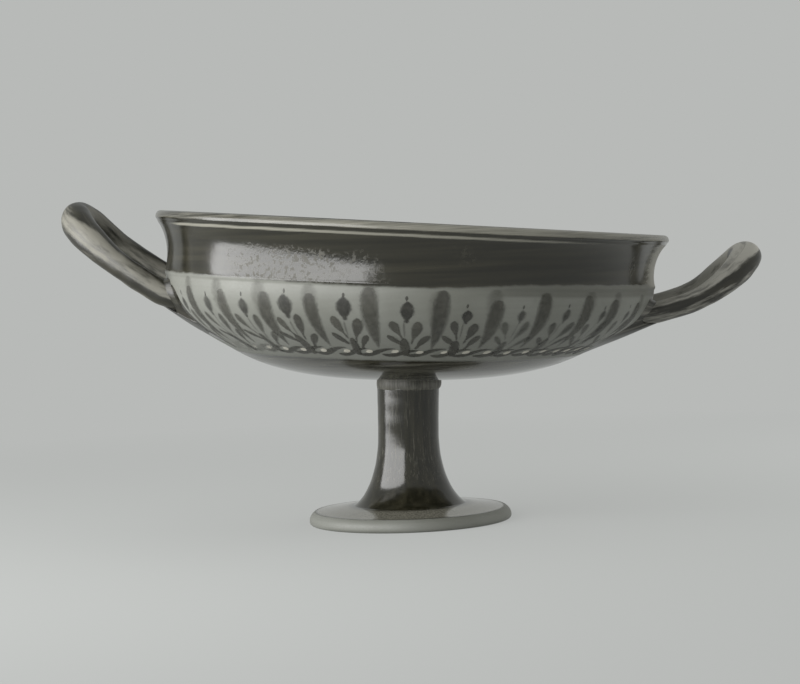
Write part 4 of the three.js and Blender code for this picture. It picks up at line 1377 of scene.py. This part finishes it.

# %% [markdown]
# ## The table, the light and the camera
# A pale sheet lies under the cup, and the world behind it has the sheet's colour, so floor and background
# are one soft grey. The light is one large window at the left and in front, which is the long highlight on
# the lip and the stem. A white card at the right lifts the side that the window doesn't reach, and is
# kept out of reflections. A weak fill comes from everywhere. Camera rays see the floor and the world in
# one colour, and near the cup the floor also keeps the real shadow.

# %% The floor
# Thick drawing paper: matt, with a tooth too fine to see from here, so one plain tone and no gloss.
BACKGROUND = "B8BAB8"
FLOOR_HALF_SIZE = 20
SHADOW_REACH = 0.55  # the floor shows real light and shadow this far from the cup, in metres
SHADOW_SHARE = 0.3  # and this much of them, next to the cup


def seen_directly(tree):
    """1 for rays that come from the camera, a reflection or glass, and 0 for light that scatters."""
    rays = add_node(tree, "ShaderNodeLightPath").outputs
    seen = [rays["Is Camera Ray"], rays["Is Glossy Ray"]]
    seen = add_node(tree, "ShaderNodeMath", seen, operation="MAXIMUM")
    return add_node(tree, "ShaderNodeMath", [seen, rays["Is Transmission Ray"]], operation="MAXIMUM")


floor_mesh = bpy.data.meshes.new("floor")
corners = [(x * FLOOR_HALF_SIZE, y * FLOOR_HALF_SIZE, 0) for x, y in ((-1, -1), (1, -1), (1, 1), (-1, 1))]
floor_mesh.from_pydata(corners, [], [(0, 1, 2, 3)])
floor = bpy.data.objects.new("floor", floor_mesh)
scene.collection.objects.link(floor)
floor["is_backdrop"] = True
sheet, tree = new_material("pale_paper")
floor_mesh.materials.append(sheet)
coords = add_node(tree, "ShaderNodeTexCoord").outputs["Object"]
away = add_node(tree, "ShaderNodeVectorMath", [coords], operation="LENGTH").outputs["Value"]
fading = [away, SHADOW_REACH * 0.3, SHADOW_REACH, SHADOW_SHARE, 0.0]
lit = add_node(tree, "ShaderNodeMapRange", fading)
bounce = add_node(tree, "ShaderNodeBsdfDiffuse", {"Color": colour(BACKGROUND)})
glow = add_node(tree, "ShaderNodeEmission", {"Color": colour(BACKGROUND)})
shown = add_node(tree, "ShaderNodeMixShader", [lit, glow, bounce])
surface = add_node(tree, "ShaderNodeMixShader", [seen_directly(tree), bounce, shown])
add_node(tree, "ShaderNodeOutputMaterial", {"Surface": surface})
print(f"floor: {2 * FLOOR_HALF_SIZE} m wide, with shadows up to {SHADOW_REACH} m away")

# %% The world
FILL = 1.15  # strength of the light from everywhere, where 1 shows the background as it is written

world = bpy.data.worlds.new("studio")
scene.world = world
world.use_nodes = True
tree = world.node_tree
tree.nodes.clear()
strength = add_node(tree, "ShaderNodeMapRange", [seen_directly(tree), 0, 1, FILL, 1.0])
backdrop = add_node(tree, "ShaderNodeBackground", {"Color": colour(BACKGROUND), "Strength": strength})
add_node(tree, "ShaderNodeOutputWorld", {"Surface": backdrop})
print(f"world: fill {FILL}")

# %% The window and the card
WINDOW = dict(width=0.70, height=0.30, place=(-0.345, -0.23, 0.183), brightness=5.4, roll=6)
CARD = dict(width=0.5, height=0.4, place=(0.42, 0.16, 0.16), brightness=2.4, roll=0)


def soft_light(name, width, height, place, brightness, roll):
    """A rectangle of light, upright and turned to the cup. Its brightness is against 1 for white."""
    light = bpy.data.lights.new(name, "AREA")
    light.shape = "RECTANGLE"
    light.size, light.size_y = width, height
    light.energy = brightness * math.pi * width * height
    lamp = bpy.data.objects.new(name, light)
    scene.collection.objects.link(lamp)
    lamp.location = place
    lamp.visible_camera = False
    aim = Vector((-place[0], -place[1], 0)).to_track_quat("-Z", "Y").to_matrix()
    lamp.rotation_euler = (aim @ Matrix.Rotation(math.radians(roll), 3, "Z")).to_euler()
    print(f"{name}: {light.energy:.2f} W")
    return lamp


soft_light("window", **WINDOW)
soft_light("card", **CARD).visible_glossy = False

# %% [markdown]
# The camera stands a little over a metre in front, just above the rim's height, and looks slightly down.
# It is rolled by two degrees, as the photograph's was. The lens is long, so the cup is nearly without
# perspective.

# %% The camera
EYE = Vector((-0.0069, -1.0738, 0.13358))
LOOK_DOWN = math.radians(2.912)
ROLL = math.radians(-2.28)
FILM_WIDTH = 36  # in mm, as is the focal length
FOCAL_LENGTH = 109.94

lens = bpy.data.cameras.new("camera")
lens.sensor_width = FILM_WIDTH
lens.lens = FOCAL_LENGTH
camera = bpy.data.objects.new("camera", lens)
scene.collection.objects.link(camera)
tilt = Matrix.Rotation(math.pi / 2 - LOOK_DOWN, 4, "X") @ Matrix.Rotation(ROLL, 4, "Z")
camera.matrix_world = Matrix.Translation(EYE) @ tilt
scene.camera = camera
scene.view_settings.view_transform = "Standard"
print(f"camera: {EYE.length:.2f} m from the cup, {math.degrees(lens.angle):.1f} degrees wide")

# %% The two boxes
visual_box = [list(corner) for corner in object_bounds()]
for label, box in (("CAD", cad_box), ("visual", visual_box)):
    print(label, "box in mm", [[round(value / MM, 2) for value in corner] for corner in box])
